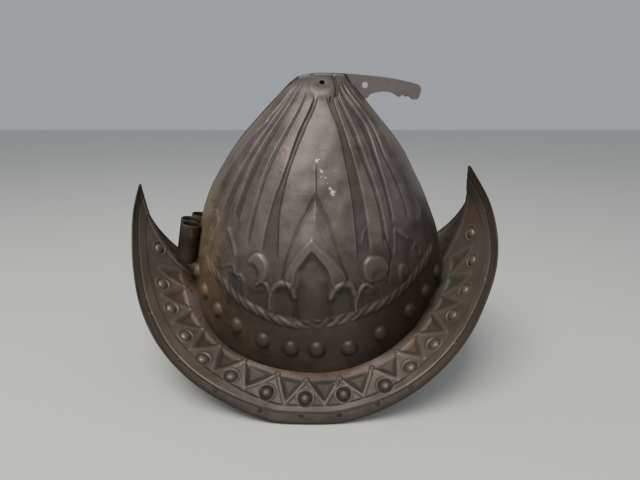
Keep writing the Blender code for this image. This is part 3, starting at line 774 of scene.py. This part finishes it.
# Painted shade in the sunk inside of the leaf
leaf = place.patch(bowl(88, 3.7), (0.022, 0.020, 0.030), 0.4)
tan = place.patch((-0.116, -0.030, 0.125), (0.060, 0.080, 0.095), 0.35)
seam_tan = place.patch((MIDDLE, 0, 0.17), (9.0, 0.028, 0.16), 0.55)
seam_tan = seam_tan * place.axis(2).between(0.262, 0.235)
colour = covered(
    colour,
    # dirt and painted shade low on the bowl
    (low * 0.74, GRIME_AND_SHADE),
    # raised bosses low on the bowl darkened further: dirt and painted shade over their painted
    # highlight
    (wire.signal("relief").between(0.7, 2.0) * low * 0.30, GRIME_AND_SHADE),
    (grimy * 0.6, GRIME_AND_SHADE),
    # painted shade in the leaf's inside
    (leaf * 0.20, GRIME_AND_SHADE),
    (tan * (mottle.between(0.30, 0.62) * 0.6 + 0.34), TAN_DUST),
    (seam_tan * 0.26, TAN_DUST),
    ((foot + (mottle - 0.5) * 0.5).between(0.35, 0.9) * 0.55, GRIME_AND_SHADE),
)
for centre, spread, share in (
    # centre, spread along each axis, strength
    (bowl(32, 1.5), (0.060, 0.050, 0.050), 0.80),
    (bowl(56, 1.0), (0.045, 0.040, 0.030), 0.34),
    (bowl(96, 0.2), (0.045, 0.030, 0.022), 0.26),
):
    brown = place.patch(centre, spread, 0.25) * mottle.between(0.25, 0.70)
    colour = (brown * share).tint(colour, BROWN_DUST)
rusty = place.patch((MIDDLE + 0.002, -0.090, 0.028), (0.048, 0.040, 0.040), 0.5)
rust = (foot + (fine - 0.5) * 0.5).between(0.62, 0.95) * rusty
colour = covered(
    colour,
    (rust * 0.6, RUST),
    (spots(place, fine, WHITE_CHIPS) * 0.8, PAINT_WHITE),
    (spots(place, fine, RED_SPOTS) * 0.7, PAINT_RED),
)
rough = rough + rust * 0.25 + low * 0.1 + grimy * 0.1
plug(shader, Base_Color=colour, Roughness=rough, Normal=normal)

for name, side in (("bowl_half_right", -1), ("bowl_half_left", 1)):
    half = bowl_half("embossed_" + name, side)
    half.data.materials.clear()
    half.data.materials.append(bowl_finish)
    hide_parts(name)
    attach(half, "root")

# The brim is two crescents of the same sheet that rise to a peak at each end. A row of
# bosses in rings stands between the arms of a raised zigzag, and the outer edge is folded
# under to a hem, pinned here and there, with a plain border beside it.
PEAK_REAR = 0.1726
PEAK_FRONT = 0.1420
PEAK_REAR_HEIGHT = 0.1718
PEAK_FRONT_HEIGHT = 0.1894
BRIM_HALF_WIDTH = 0.1255
REST_DIP = 0.0012
REST_DIP_FADE = 0.03
REST_SOFTNESS = 0.0010
PEAK_BOW_POWER = 12
REAR_PEAK_BOW = 0.0115
FRONT_PEAK_BOW = 0.0085
SIDE_BOW = 0.0015
HEM_WIDTH = 0.0080
HEM_DEPTH = 0.0020
HEM_PLUMB_BELOW = 0.0060
HEM_PLUMB_FADE = 0.0300
BORDER_TURNS = (0, 45, 75, 110, 135, 180)
BORDER_WIDTHS = (0.0115, 0.0115, 0.0065, 0.0065, 0.0090, 0.0090)
TIP_TURNS = 1.0
FLANGE_SPREAD = 0.12
CLEARANCE_LEVEL = 0.3

# Stations along the brim's edge: turn in degrees from the rear peak's tip, the reach as a
# share of PEAK_REAR or PEAK_FRONT, the side as a share of BRIM_HALF_WIDTH, and the height
# as a share of that end's peak height.
BRIM_STATIONS = [
    # turn, reach, side, height
    (0.0, -1.000, 0.000, 1.000),
    (7.0, -1.017, 0.108, 0.867),
    (14.0, -1.005, 0.235, 0.730),
    (21.0, -0.968, 0.390, 0.594),
    (29.0, -0.901, 0.566, 0.451),
    (38.0, -0.794, 0.725, 0.314),
    (49.0, -0.643, 0.853, 0.192),
    (62.0, -0.463, 0.932, 0.092),
    (76.0, -0.255, 0.984, 0.017),
    (90.0, -0.035, 1.000, 0.000),
    (104.0, 0.225, 0.988, 0.026),
    (118.0, 0.465, 0.964, 0.106),
    (131.0, 0.676, 0.908, 0.216),
    (142.0, 0.842, 0.829, 0.348),
    (151.0, 0.958, 0.729, 0.496),
    (159.0, 1.046, 0.574, 0.612),
    (166.0, 1.088, 0.398, 0.729),
    (173.0, 1.081, 0.199, 0.855),
    (180.0, 1.000, 0.000, 1.000),
]

# Bosses and the zigzag's corners as turn and share of the way out from the bowl
BRIM_BOSSES = [
    (4, 0.46), (18, 0.475), (26.5, 0.46), (37, 0.46), (47.5, 0.51), (59.5, 0.475),
    (73.5, 0.51), (87, 0.525), (100, 0.49), (114.5, 0.59), (125, 0.54), (136, 0.525),
    (147, 0.50), (156, 0.51), (166, 0.525), (174.5, 0.54),
]
ZIGZAG_OUTER = [
    (12.5, 0.49), (22.5, 0.54), (32, 0.55), (42.5, 0.55), (53.5, 0.58), (66, 0.58),
    (80.5, 0.65), (93.5, 0.64), (106.5, 0.62), (119.5, 0.60), (130.5, 0.58), (141.5, 0.57),
    (151.5, 0.55), (161, 0.54), (170.5, 0.52),
]
ZIGZAG_INNER = [
    (4.5, 0.14), (14, 0.12), (25.5, 0.13), (35.5, 0.09), (46.5, 0.06), (60, 0.06), (75, 0.10),
    (86.5, 0.15), (99, 0.15), (112, 0.16), (124, 0.13), (135, 0.11), (146, 0.11), (155, 0.12),
    (165, 0.13), (175, 0.14),
]
BRIM_BOSS_RADIUS = 0.0047
BRIM_BOSS_RISE = 0.0026
BOSS_DISH_RADIUS = 0.0062
BOSS_DISH_DEPTH = 0.0009
BOSS_DISH_SLOPE = 0.0012
BOSS_RING_RADIUS = 0.0071
BOSS_RING_HALF_WIDTH = 0.0013
BOSS_RING_RISE = 0.0003
BOSS_RING_FULLNESS = 1.3
BOSS_GROUND_MARGIN = 0.0008
BOSS_GROUND_SINK = 0.0002
ZIGZAG_HALF_WIDTH = 0.0027
ZIGZAG_RISE = 0.0006
TRIANGLE_SINK = 0.0012
TRIANGLE_INSET = 0.0008
TRIANGLE_SLOPE = 0.0042
STUD_RING_RADIUS = 0.0016
STUD_RING_HALF_WIDTH = 0.0010
STUD_RING_RISE = 0.0005
FIELD_STEP = 0.0004
FIELD_SLOPE = 0.0022
LIP_REACH = 0.0012
LIP_DROP = 0.0004
LIP_THICKNESS = 0.0006
SEAM_LIP = 0.0012
BRIM_SEAM_BAND = 0.0018
BRIM_DENTS = {"seed": 23, "coarse": 0.00030, "fine": 0.00004}

# Pins through the hem and small holes beside the bowl, as turn and share of the way out
HEM_PINS = [
    (4.5, 0.95), (16, 0.94), (30.5, 0.90), (44.5, 0.88), (59, 0.88), (74, 0.885), (86.5, 0.875),
    (98, 0.875), (110, 0.88), (121.5, 0.885), (139, 0.89), (156, 0.90), (173, 0.88),
]
PIN_HOLES = [
    (8.5, 0.04), (15.5, 0.05), (31, 0.062), (97.5, 0.238), (134.5, 0.15), (145.5, 0.113),
]
PIN_RADIUS = 0.0013
PIN_RISE = 0.0009
PIN_DISH_RADIUS = 0.0022
PIN_DISH_DEPTH = 0.0005
PIN_HOLE_DEPTH = 0.0022
PIN_SLOPE = 0.0006

# The hem's face lies lower than the border, down to the edge, with a crease between them
HEM_SINK = 0.0002
HEM_DROP = 0.0010
HEM_SLOPE = 0.0006
CREASE_DEPTH = 0.0005
CREASE_HALF_WIDTH = 0.0013
HEM_MARK_SLOPE = 0.0008
HEM_UNDER_MARGIN = 0.0006
HEM_UNDER_SLOPE = 0.0012
HEM_UNDER_RELIEF = 0.2
CREVICE_WIDTH = 0.010

# The mesh: share of the rows up to the hem and beyond it, and the rolled edge
BRIM_COLUMNS = 720
BRIM_ROWS = 96
FIELD_ROWS_SHARE = 0.84
HEM_ROWS_SHARE = 0.16
HEM_ROWS_WIDTH = 0.96
HEM_FOLD_ROW = -12
ROLL_ANGLES = (30, 60, 90)
ROLL_UNDER_ANGLE = 150
ROLL_REACH = 0.4


def brim_edge(turn):
    """Points on the brim's outer edge, on its -Y side for turns of 0 to 180."""
    turn = np.asarray(turn, float)
    stations = np.array(BRIM_STATIONS)
    inward = np.where(turn < 90, np.abs(turn), 180 - np.abs(180 - turn))
    place = np.interp(inward, stations[:, 0], range(len(stations)))
    reach, width, height = np.moveaxis(through(stations[:, 1:], place), -1, 0)
    length = np.where(reach < 0, PEAK_REAR, PEAK_FRONT)
    peak = np.where(inward < 90, PEAK_REAR_HEIGHT, PEAK_FRONT_HEIGHT)
    side = np.where((turn >= 0) & (turn <= 180), -1, 1)
    dip = REST_DIP * (1 - ramp(height / REST_DIP_FADE))
    z = height * peak - dip
    z = (z + np.hypot(z, REST_SOFTNESS)) / 2
    return np.stack([reach * length + MIDDLE, side * width * BRIM_HALF_WIDTH, z], axis=-1)


def near_seam(turn):
    """1 beside the seam, where the brim also clears the bowl's flange, and 0 elsewhere."""
    return 1 - ramp(np.abs(np.sin(np.radians(turn))) / FLANGE_SPREAD)


def brim(turn, share):
    """Points on the brim's plain upper face, share 0 at the bowl and 1 at the edge."""
    turn, share = np.broadcast_arrays(np.asarray(turn, float), np.asarray(share, float))
    inner, outer = bowl(turn, 0.0), brim_edge(turn)
    chord = outer - inner
    run = np.hypot(chord[..., 0], chord[..., 1])
    level_way = chord[..., :2] / run[..., None]
    down = unit(np.concatenate([level_way * chord[..., 2:], -run[..., None]], axis=-1))
    ahead = -np.cos(np.radians(turn))
    end_share = ahead**PEAK_BOW_POWER
    peak_bow = np.where(ahead > 0, FRONT_PEAK_BOW, REAR_PEAK_BOW)
    bow = peak_bow * end_share + SIDE_BOW * (1 - end_share)
    outward = unit(normals(bowl, turn, np.full(turn.shape, CLEARANCE_LEVEL)) * (1, 1, 0))
    at_seam = near_seam(turn)
    clear = outward * (PIECE_GAP + WALL + SEAM_FLANGE * at_seam)[..., None]
    facing = np.where((turn > 0) & (turn < 180), -1, 1)
    clear[..., 1] += facing * (WALL + PIECE_GAP / 2) * (1 - at_seam)
    middle = inner + chord * share[..., None] + clear * (1 - share)[..., None]
    return middle + down * (4 * share * (1 - share) * bow)[..., None]


def brim_width(turn):
    """The brim's width across, at right angles to its edge."""
    turn = np.clip(turn, TIP_TURNS, 180 - TIP_TURNS)
    span = brim_edge(turn) - bowl(turn, 0.0)
    tangent = unit(brim_edge(turn + 0.5) - brim_edge(turn - 0.5))
    return np.linalg.norm(np.cross(span, tangent), axis=-1)


def brim_relief(turn, points, from_edge, side):
    """Height of the embossing at each point of the brim."""
    height = np.zeros(turn.shape)
    arms = [place for pair in zip(ZIGZAG_INNER, ZIGZAG_OUTER) for place in pair]
    arms = arms + ZIGZAG_INNER[-1:]
    corners = brim(*np.array(arms).T)
    for start in range(0, len(arms) - 2, 2):
        triangle = corners[start:start + 3]
        close = close_to(points, triangle, FORM_MARGIN)
        inside = depth_inside(points[close], triangle)
        height[close] -= TRIANGLE_SINK * ramp((inside - TRIANGLE_INSET) / TRIANGLE_SLOPE)
    beads = [(ZIGZAG_HALF_WIDTH, ZIGZAG_RISE, list(pair)) for pair in zip(arms[:-1], arms[1:])]
    add_beads(height, points, brim, beads, 1)
    for corner in corners[::2]:
        from_ring = np.abs(from_centre(points, corner) - STUD_RING_RADIUS)
        height += STUD_RING_RISE * ramp(1 - from_ring / STUD_RING_HALF_WIDTH)
    border = np.interp(turn, BORDER_TURNS, BORDER_WIDTHS)
    field = ramp((from_edge - HEM_WIDTH - border) / FIELD_SLOPE + 0.5)
    height = (height - FIELD_STEP) * field + FIELD_STEP * (1 - field)
    for places in BRIM_BOSSES:
        centre = brim(*places)
        from_boss = from_centre(points, centre)
        within = ramp((BOSS_RING_RADIUS + BOSS_GROUND_MARGIN - from_boss) / BOSS_DISH_SLOPE)
        height = height * (1 - within) - BOSS_GROUND_SINK * within
        height -= BOSS_DISH_DEPTH * ramp((BOSS_DISH_RADIUS - from_boss) / BOSS_DISH_SLOPE)
        add_dome(height, points, centre, BRIM_BOSS_RADIUS, BRIM_BOSS_RISE)
        from_ring = np.abs(from_boss - BOSS_RING_RADIUS)
        height += BOSS_RING_RISE * ramp(BOSS_RING_FULLNESS * (1 - from_ring / BOSS_RING_HALF_WIDTH))
    for places in PIN_HOLES:
        height -= PIN_HOLE_DEPTH * ramp((PIN_RADIUS - from_centre(points, brim(*places))) / PIN_SLOPE)
    hem = ramp((HEM_WIDTH - from_edge) / HEM_SLOPE + 0.5)
    crease = ramp(1 - np.abs(from_edge - HEM_WIDTH) / CREASE_HALF_WIDTH)
    height += hem * (-HEM_SINK - HEM_DROP * ramp(1 - from_edge / HEM_WIDTH)) - CREASE_DEPTH * crease
    for places in HEM_PINS:
        from_pin = from_centre(points, brim(*places))
        height -= PIN_DISH_DEPTH * ramp((PIN_DISH_RADIUS - from_pin) / PIN_SLOPE)
        add_dome(height, points, brim(*places), PIN_RADIUS, PIN_RISE)
    height += SEAM_LIP * seam_band(points, BRIM_SEAM_BAND)
    return height + dents(points * (1, side, 1), **BRIM_DENTS)


def brim_half(name, side):
    """One half of the brim, its edge rolled over to the hem beneath."""
    turns = np.linspace(0, 180, BRIM_COLUMNS + 1)
    width = brim_width(turns)[:, None]
    rows = np.linspace(0, 1, BRIM_ROWS + 1)[None, :]
    hem = 1 - HEM_WIDTH * HEM_ROWS_WIDTH / width
    field_share = rows / FIELD_ROWS_SHARE * hem
    hem_share = hem + (1 - hem) * (rows - FIELD_ROWS_SHARE) / HEM_ROWS_SHARE
    share = np.where(rows < FIELD_ROWS_SHARE, field_share, hem_share)
    turn = np.broadcast_to(turns[:, None], share.shape)
    from_edge = (1 - share) * width
    points = brim(turn, share)
    facing = -normals(brim, turn, share)
    edge = brim_edge(turns)
    fold = -facing[:, HEM_FOLD_ROW]
    plumb = (1 - ramp((edge[:, 2] - HEM_PLUMB_BELOW) / HEM_PLUMB_FADE))[:, None]
    fold = unit(fold * (1 - plumb) + np.array([0, 0, -1]) * plumb)
    height = brim_relief(turn, points, from_edge, side)
    lifted = points - fold[:, None] * HEM_DEPTH * share[..., None]
    top = lifted + facing * height[..., None]
    before, after = np.clip(turns - 0.5, 0, 180), np.clip(turns + 0.5, 0, 180)
    tangent = unit(brim_edge(after) - brim_edge(before))
    outward = unit(np.cross(tangent, fold))
    outward *= np.sign((outward * (edge - bowl(turns, 0.0))).sum(-1))[:, None]
    centre = edge - fold * HEM_DEPTH / 2

    def roll(angle):
        lift = math.cos(math.radians(angle)) * HEM_DEPTH / 2
        reach = math.sin(math.radians(angle)) * HEM_DEPTH * ROLL_REACH
        return (centre - fold * lift + outward * reach)[:, None]

    inward = unit(normals(bowl, turns, CLEARANCE_LEVEL) * (1, 1, 0))[:, None]
    reach = (LIP_REACH + SEAM_FLANGE * near_seam(turns))[:, None, None]
    lip = top[:, :1] - inward * reach - (0, 0, LIP_DROP)
    top = np.concatenate([lip, top] + [roll(angle) for angle in ROLL_ANGLES], axis=1)
    column_marks = np.arange(0, BRIM_COLUMNS + 1, UNDER_STEP)
    row_marks = np.concatenate([[0], np.arange(1, BRIM_ROWS + 2, UNDER_STEP), [top.shape[1] - 1]])
    doubled = ramp((HEM_WIDTH + HEM_UNDER_MARGIN - from_edge) / HEM_UNDER_SLOPE)
    sheet = lifted + facing * (height - WALL)[..., None]
    hem_face = points + facing * (height * HEM_UNDER_RELIEF)[..., None]
    below = sheet * (1 - doubled[..., None]) + hem_face * doubled[..., None]
    below = np.concatenate([lip - (0, 0, LIP_THICKNESS), below, roll(ROLL_UNDER_ANGLE)], axis=1)
    under = below[np.ix_(column_marks, np.append(row_marks[:-1], -1))]
    for grid in (top, under):
        grid[..., 1] = np.minimum(grid[..., 1], SEAM_FILL - PIECE_GAP)
        grid[..., 2] = np.maximum(grid[..., 2], 0)
    pad = ((0, 0), (1, len(ROLL_ANGLES)))
    signals = {
        "crest": np.pad(crests(height), pad, "edge"),
        "relief": np.pad(height * 1000, pad, "edge"),
        "foot": np.pad(ramp(1 - share * width / CREVICE_WIDTH), pad, "edge"),
        "seam": np.pad(seam_band(points, BRIM_SEAM_BAND), pad, "edge"),
        "hem": np.pad(ramp((HEM_WIDTH - from_edge) / HEM_MARK_SLOPE + 0.5), pad, "edge"),
    }
    top, under = top[:, ::-1], under[:, ::-1]
    signals = {label: values[:, ::-1] for label, values in signals.items()}
    row_marks = top.shape[1] - 1 - row_marks[::-1]
    return sheet_body(name, top, under, column_marks, row_marks, side, signals)


BRIM_DARK = (0.050, 0.039, 0.032, 1.0)
BRIM_LIGHT = (0.090, 0.071, 0.060, 1.0)
# Colour of worn oxide on the brim, and also of the painted highlight on raised relief
BRIM_WORN_AND_HIGHLIGHT = (0.165, 0.138, 0.124, 1.0)
BRIM_DUST = (0.205, 0.165, 0.134, 1.0)
# Dark tone of the painted shade near the brim's peaks
PEAK_SHADE = (0.034, 0.023, 0.012, 1.0)
VERDIGRIS = (0.030, 0.130, 0.075, 1.0)

brim_finish, shader, wire, place, colour, rough, normal, mottle, clouds = blackened(
    "blackened_brim", BRIM_DARK, BRIM_LIGHT, BRIM_WORN_AND_HIGHLIGHT
)
foot = wire.signal("foot")
hem = wire.signal("hem")
relief = wire.signal("relief")
across, height = place.axis(1), place.axis(2)
dusty = (height + (clouds - 0.5) * 0.03).between(0.008, 0.060)
lowest = place.patch((MIDDLE, -0.105, 0.010), (0.095, 0.055, 0.040), 0.35)
# Painted shade in the brim's sunk relief: the triangles, dishes and pin holes
hollow = (0.0 - relief + (mottle - 0.5) * 0.5).between(0.4, 1.2)
# Painted shade near both peaks, where the brim rises high
shaded_peaks = (height + (clouds - 0.5) * 0.02).between(0.122, 0.180)
# Painted shade on the far (+Y) half of the brim, part way up towards the peaks
beyond = across.between(0.0, 0.003) * across.between(0.085, 0.045) * height.between(0.062, 0.085)
colour = covered(
    colour,
    (dusty * 0.45, BRIM_DUST),
    (lowest * 0.72, BRIM_DARK),
    # painted shade that tones down the lit domes of the bosses
    (relief.between(1.0, 2.2) * 0.22, GRIME_AND_SHADE),
    # painted shade in the sunk relief
    (hollow * 0.34, GRIME_AND_SHADE),
    (hem * 0.62, GRIME_AND_SHADE),
    # painted shade near the peaks
    (shaded_peaks * 0.90, PEAK_SHADE),
    # painted shade on the far half
    (beyond * 0.85, GRIME_AND_SHADE),
)
for centre, spread, share in (
    # centre, spread along each axis, strength
    (brim(9, 0.05), (0.016, 0.022, 0.026), 0.42),
    (brim(131.5, 0.14), (0.011, 0.011, 0.010), 0.30),
    (brim(177, 0.62), (0.016, 0.018, 0.022), 0.26),
):
    reddish = place.patch(centre, spread, 0.3) * (mottle * 1.3)
    colour = (reddish * share).tint(colour, RUST)
rusty = place.patch((MIDDLE + 0.002, -0.095, 0.028), (0.052, 0.040, 0.040), 0.5)
rust = (foot + (mottle - 0.5) * 0.7).between(0.78, 1.02) * (rusty * 0.7 + 0.12)
crevice = (foot + (mottle - 0.5) * 0.5).between(0.45, 0.95)
green = place.patch(brim(164, 0.08), (0.012, 0.012, 0.018), 0.4) * mottle.between(0.46, 0.60)
colour = covered(
    colour,
    (crevice * 0.35, GRIME_AND_SHADE),
    (rust * 0.42, RUST),
    (green * 0.6, VERDIGRIS),
)
rough = rough + rust * 0.25 + hem * 0.1 + beyond * 0.4 + shaded_peaks * 0.2
plug(shader, Base_Color=colour, Roughness=rough, Normal=normal)

for name, side in (("brim_half_right", -1), ("brim_half_left", 1)):
    half = brim_half("embossed_" + name, side)
    half.data.materials.append(brim_finish)
    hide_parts(name)
    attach(half, "root")

# The comb plate is flat sheet with a scalloped lower edge and a pin hole. It is taken as
# what is left of a longer comb, and it is pinched between the halves at the crown.
PLATE_THICKNESS = 0.0016
PLATE_DEPTH = 0.0220
PLATE_HOLE_RADIUS = 0.0027
PLATE_HOLE = (0.448, 0.41)
PLATE_HOLE_SIDES = 32
PLATE_BEVEL = 0.0003
PLATE_STEPS = 4
PLATE_OUTLINE = [
    # reach as a share of PLATE_REACH, drop below the crown as a share of PLATE_DEPTH
    (-0.08, 0.00), (0.25, -0.03), (0.45, 0.03), (0.65, 0.11), (0.83, 0.24), (0.96, 0.37),
    (1.00, 0.46), (1.01, 0.66), (0.99, 0.92), (0.97, 0.98), (0.92, 0.97), (0.89, 0.86),
    (0.855, 0.87), (0.83, 0.80), (0.79, 0.88), (0.72, 0.72), (0.64, 0.67), (0.56, 0.71),
    (0.50, 0.79), (0.48, 0.90), (0.43, 1.00), (0.38, 0.92), (0.20, 0.70), (-0.08, 0.45),
]


def plate_point(reach, drop):
    """A point of the plate's flat face, from its shares."""
    return MIDDLE + reach * PLATE_REACH, CROWN_HEIGHT - drop * PLATE_DEPTH


curve = bpy.data.curves.new("plate", "CURVE")
curve.dimensions = "2D"
curve.fill_mode = "BOTH"
curve.extrude = PLATE_THICKNESS / 2 - PLATE_BEVEL
curve.bevel_depth = PLATE_BEVEL
curve.bevel_resolution = 2
curve.offset = -PLATE_BEVEL
last = len(PLATE_OUTLINE) - 1
outline = through(PLATE_OUTLINE, np.linspace(0, last, PLATE_STEPS * last + 1))
hole_x, hole_z = plate_point(*PLATE_HOLE)
hole = [
    (hole_x + PLATE_HOLE_RADIUS * math.cos(angle), hole_z + PLATE_HOLE_RADIUS * math.sin(angle))
    for angle in np.linspace(0, math.tau, PLATE_HOLE_SIDES, endpoint=False)
]
for ring in ([plate_point(*place) for place in outline], hole):
    spline = curve.splines.new("POLY")
    spline.points.add(len(ring) - 1)
    spline.use_cyclic_u = True
    for point, (x, z) in zip(spline.points, ring):
        point.co = (x, z, 0, 1)
drawn = stand("plate", curve)
flat = drawn.evaluated_get(bpy.context.evaluated_depsgraph_get())
mesh = bpy.data.meshes.new_from_object(flat)
bpy.data.objects.remove(drawn)
for corner in mesh.vertices:
    corner.co = (corner.co.x, -corner.co.z, corner.co.y)
plate = stand("scalloped_comb_plate", mesh)

plate_finish, shader, wire, place = new_finish("blackened_plate")
clouds = place.noise(40, 5, 0.6)
mottle = place.noise(150, 5, 0.65)
colour = (clouds.between(0.30, 0.70) * 0.18).tint(OXIDE_LIGHT, OXIDE_WORN_AND_HIGHLIGHT)
colour = (mottle.between(0.60, 0.72) * 0.25).tint(colour, OXIDE_DARK)
bump = wire.node("Bump", {}, {"Strength": 0.3, "Distance": 0.0006, "Height": mottle + clouds})
plug(shader, Base_Color=colour, Roughness=0.48 + mottle * 0.15, Normal=bump)
shader.inputs["Metallic"].default_value = OXIDE_METALLIC
plate.data.materials.append(plate_finish)
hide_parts("comb_plate")
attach(plate, "root")

# Three short tubes at the rear, taken as a plume's holder. They are rolled from thin sheet,
# open at both ends, and stand side by side with the middle one set back.
TUBE_RADIUS = 0.0094
TUBE_WALL = 0.0010
TUBE_SIDES = 56
TUBE_RINGS = 24
TUBE_OVALNESS = 0.02
TUBE_OVAL_TURN = 1.0
TUBE_DENTS = {"seed": 5, "coarse": 0.00022, "fine": 0.00004}
TUBE_LINES = [
    # node, foot and top of the axis
    ("plume_tube_right", (-0.1180, -0.0191, 0.1020), (-0.11025, -0.0191, 0.1385)),
    ("plume_tube_middle", (-0.1232, 0.0, 0.1020), (-0.1156, 0.0, 0.1385)),
    ("plume_tube_left", (-0.1180, 0.0191, 0.1020), (-0.11025, 0.0191, 0.1385)),
]


def open_tube(name, foot, top):
    """A tube of thin sheet about an axis, with soft dents and rounded rims."""
    foot, top = np.array(foot), np.array(top)
    axis = unit(top - foot)
    across = unit(np.cross(axis, (0, 1, 0)))
    other = np.cross(axis, across)
    length = np.linalg.norm(top - foot)
    lip = TUBE_WALL / 2
    rise = np.linspace(lip, length - lip, TUBE_RINGS)
    outer, inner = TUBE_RADIUS, TUBE_RADIUS - TUBE_WALL
    arc = np.radians([30, 60, 90, 120, 150])
    top_rim = [(outer - lip + lip * math.cos(a), length - lip + lip * math.sin(a)) for a in arc]
    foot_rim = [(inner + lip - lip * math.cos(a), lip - lip * math.sin(a)) for a in arc]
    rings = [(outer, r) for r in rise] + top_rim + [(inner, r) for r in rise[::-1]] + foot_rim
    radius, place = np.array(rings).T
    angle = np.linspace(0, math.tau, TUBE_SIDES, endpoint=False)
    spoke = np.cos(angle)[:, None] * across + np.sin(angle)[:, None] * other
    points = foot + place[:, None, None] * axis + radius[:, None, None] * spoke
    oval = (1 + np.cos(2 * angle + TUBE_OVAL_TURN))[:, None]
    pressed = points - radius[:, None, None] * TUBE_OVALNESS * spoke * oval
    points = pressed - spoke * np.abs(dents(points, **TUBE_DENTS))[..., None]
    number = np.arange(len(rings) * TUBE_SIDES).reshape(len(rings), TUBE_SIDES)
    beside, above = np.roll(number, -1, axis=1), np.roll(number, -1, axis=0)
    faces = np.stack([number, beside, np.roll(beside, -1, axis=0), above], axis=-1).reshape(-1, 4)
    mesh = bpy.data.meshes.new(name)
    mesh.from_pydata(points.reshape(-1, 3), [], faces.tolist())
    mesh.shade_smooth()
    return stand(name, mesh)


TUBE_DARK = (0.019, 0.012, 0.007, 1.0)
TUBE_LIGHT = (0.046, 0.031, 0.019, 1.0)
TUBE_METALLIC = 0.35
tube_finish, shader, wire, place = new_finish("blackened_tubes")
clouds = place.noise(45, 5, 0.6)
mottle = place.noise(170, 5, 0.65)
colour = (clouds + (mottle - 0.5) * 0.4).between(0.35, 0.65).tint(TUBE_DARK, TUBE_LIGHT)
rusty = place.patch((-0.1055, -0.0265, 0.131), (0.007, 0.010, 0.007), 0.4)
colour = (rusty * mottle.between(0.42, 0.58) * 0.6).tint(colour, RUST)
rim = place.axis(2).between(0.1355, 0.1400)
colour = (rim * 0.45).tint(colour, OXIDE_LIGHT)
bump = wire.node("Bump", {}, {"Strength": 0.4, "Distance": 0.0007, "Height": mottle + clouds})
plug(shader, Base_Color=colour, Roughness=0.55 + mottle * 0.2, Normal=bump)
shader.inputs["Metallic"].default_value = TUBE_METALLIC
for name, foot, top in TUBE_LINES:
    tube = open_tube("rolled_" + name, foot, top)
    tube.data.materials.append(tube_finish)
    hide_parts(name)
    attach(tube, "root")

# The floor is a plain pale one, lit by a large soft lamp overhead and a weaker one in
# front. The camera stands a little above the helmet, to its right.
FLOOR_COLOUR = (0.66, 0.66, 0.61, 1.0)
FLOOR_ROUGHNESS = 0.8
FLOOR_SIZE = 8.0
FLOOR_GAP = 0.0003
SKY_COLOUR = (0.62, 0.66, 0.72, 1.0)
SKY_STRENGTH = 0.60
LAMP_AIM = (0, 0, 0.12)
FOCAL_PIXELS = 465.0
PICTURE_WIDTH = 640.0
SENSOR_WIDTH = 36.0
CAMERA_PLACE = (MIDDLE, -0.440, 0.247)
CAMERA_PITCH = math.radians(90 - 16.5)

bpy.ops.mesh.primitive_plane_add(size=FLOOR_SIZE, location=(0, 0, -FLOOR_GAP))
floor = bpy.context.object
floor.name = "floor"
floor_finish, shader = new_finish("pale_floor")[:2]
shader.inputs["Base Color"].default_value = FLOOR_COLOUR
shader.inputs["Roughness"].default_value = FLOOR_ROUGHNESS
floor.data.materials.append(floor_finish)

for name, spot, size, power, tone in (
    # name, place, side of the square in metres, watts, colour
    ("overhead_lamp", (-0.26, -0.62, 1.34), 0.8, 19.0, (1.0, 0.965, 0.93)),
    ("front_lamp", (0.0, -1.6, 1.0), 1.2, 3.0, (0.97, 0.98, 1.0)),
):
    lamp = stand(name, bpy.data.lights.new(name, "AREA"))
    lamp.data.size = size
    lamp.data.energy = power
    lamp.data.color = tone
    lamp.location = spot
    aim = Vector(LAMP_AIM) - Vector(spot)
    lamp.rotation_euler = aim.to_track_quat("-Z", "Y").to_euler()

sky = bpy.data.worlds.new("studio")
sky.use_nodes = True
background = sky.node_tree.nodes["Background"]
background.inputs["Color"].default_value = SKY_COLOUR
background.inputs["Strength"].default_value = SKY_STRENGTH
bpy.context.scene.world = sky

camera = stand("camera", bpy.data.cameras.new("camera"))
camera.data.sensor_width = SENSOR_WIDTH
camera.data.lens = SENSOR_WIDTH * FOCAL_PIXELS / PICTURE_WIDTH
camera.location = CAMERA_PLACE
camera.rotation_euler = (CAMERA_PITCH, 0, 0)
bpy.context.scene.camera = camera
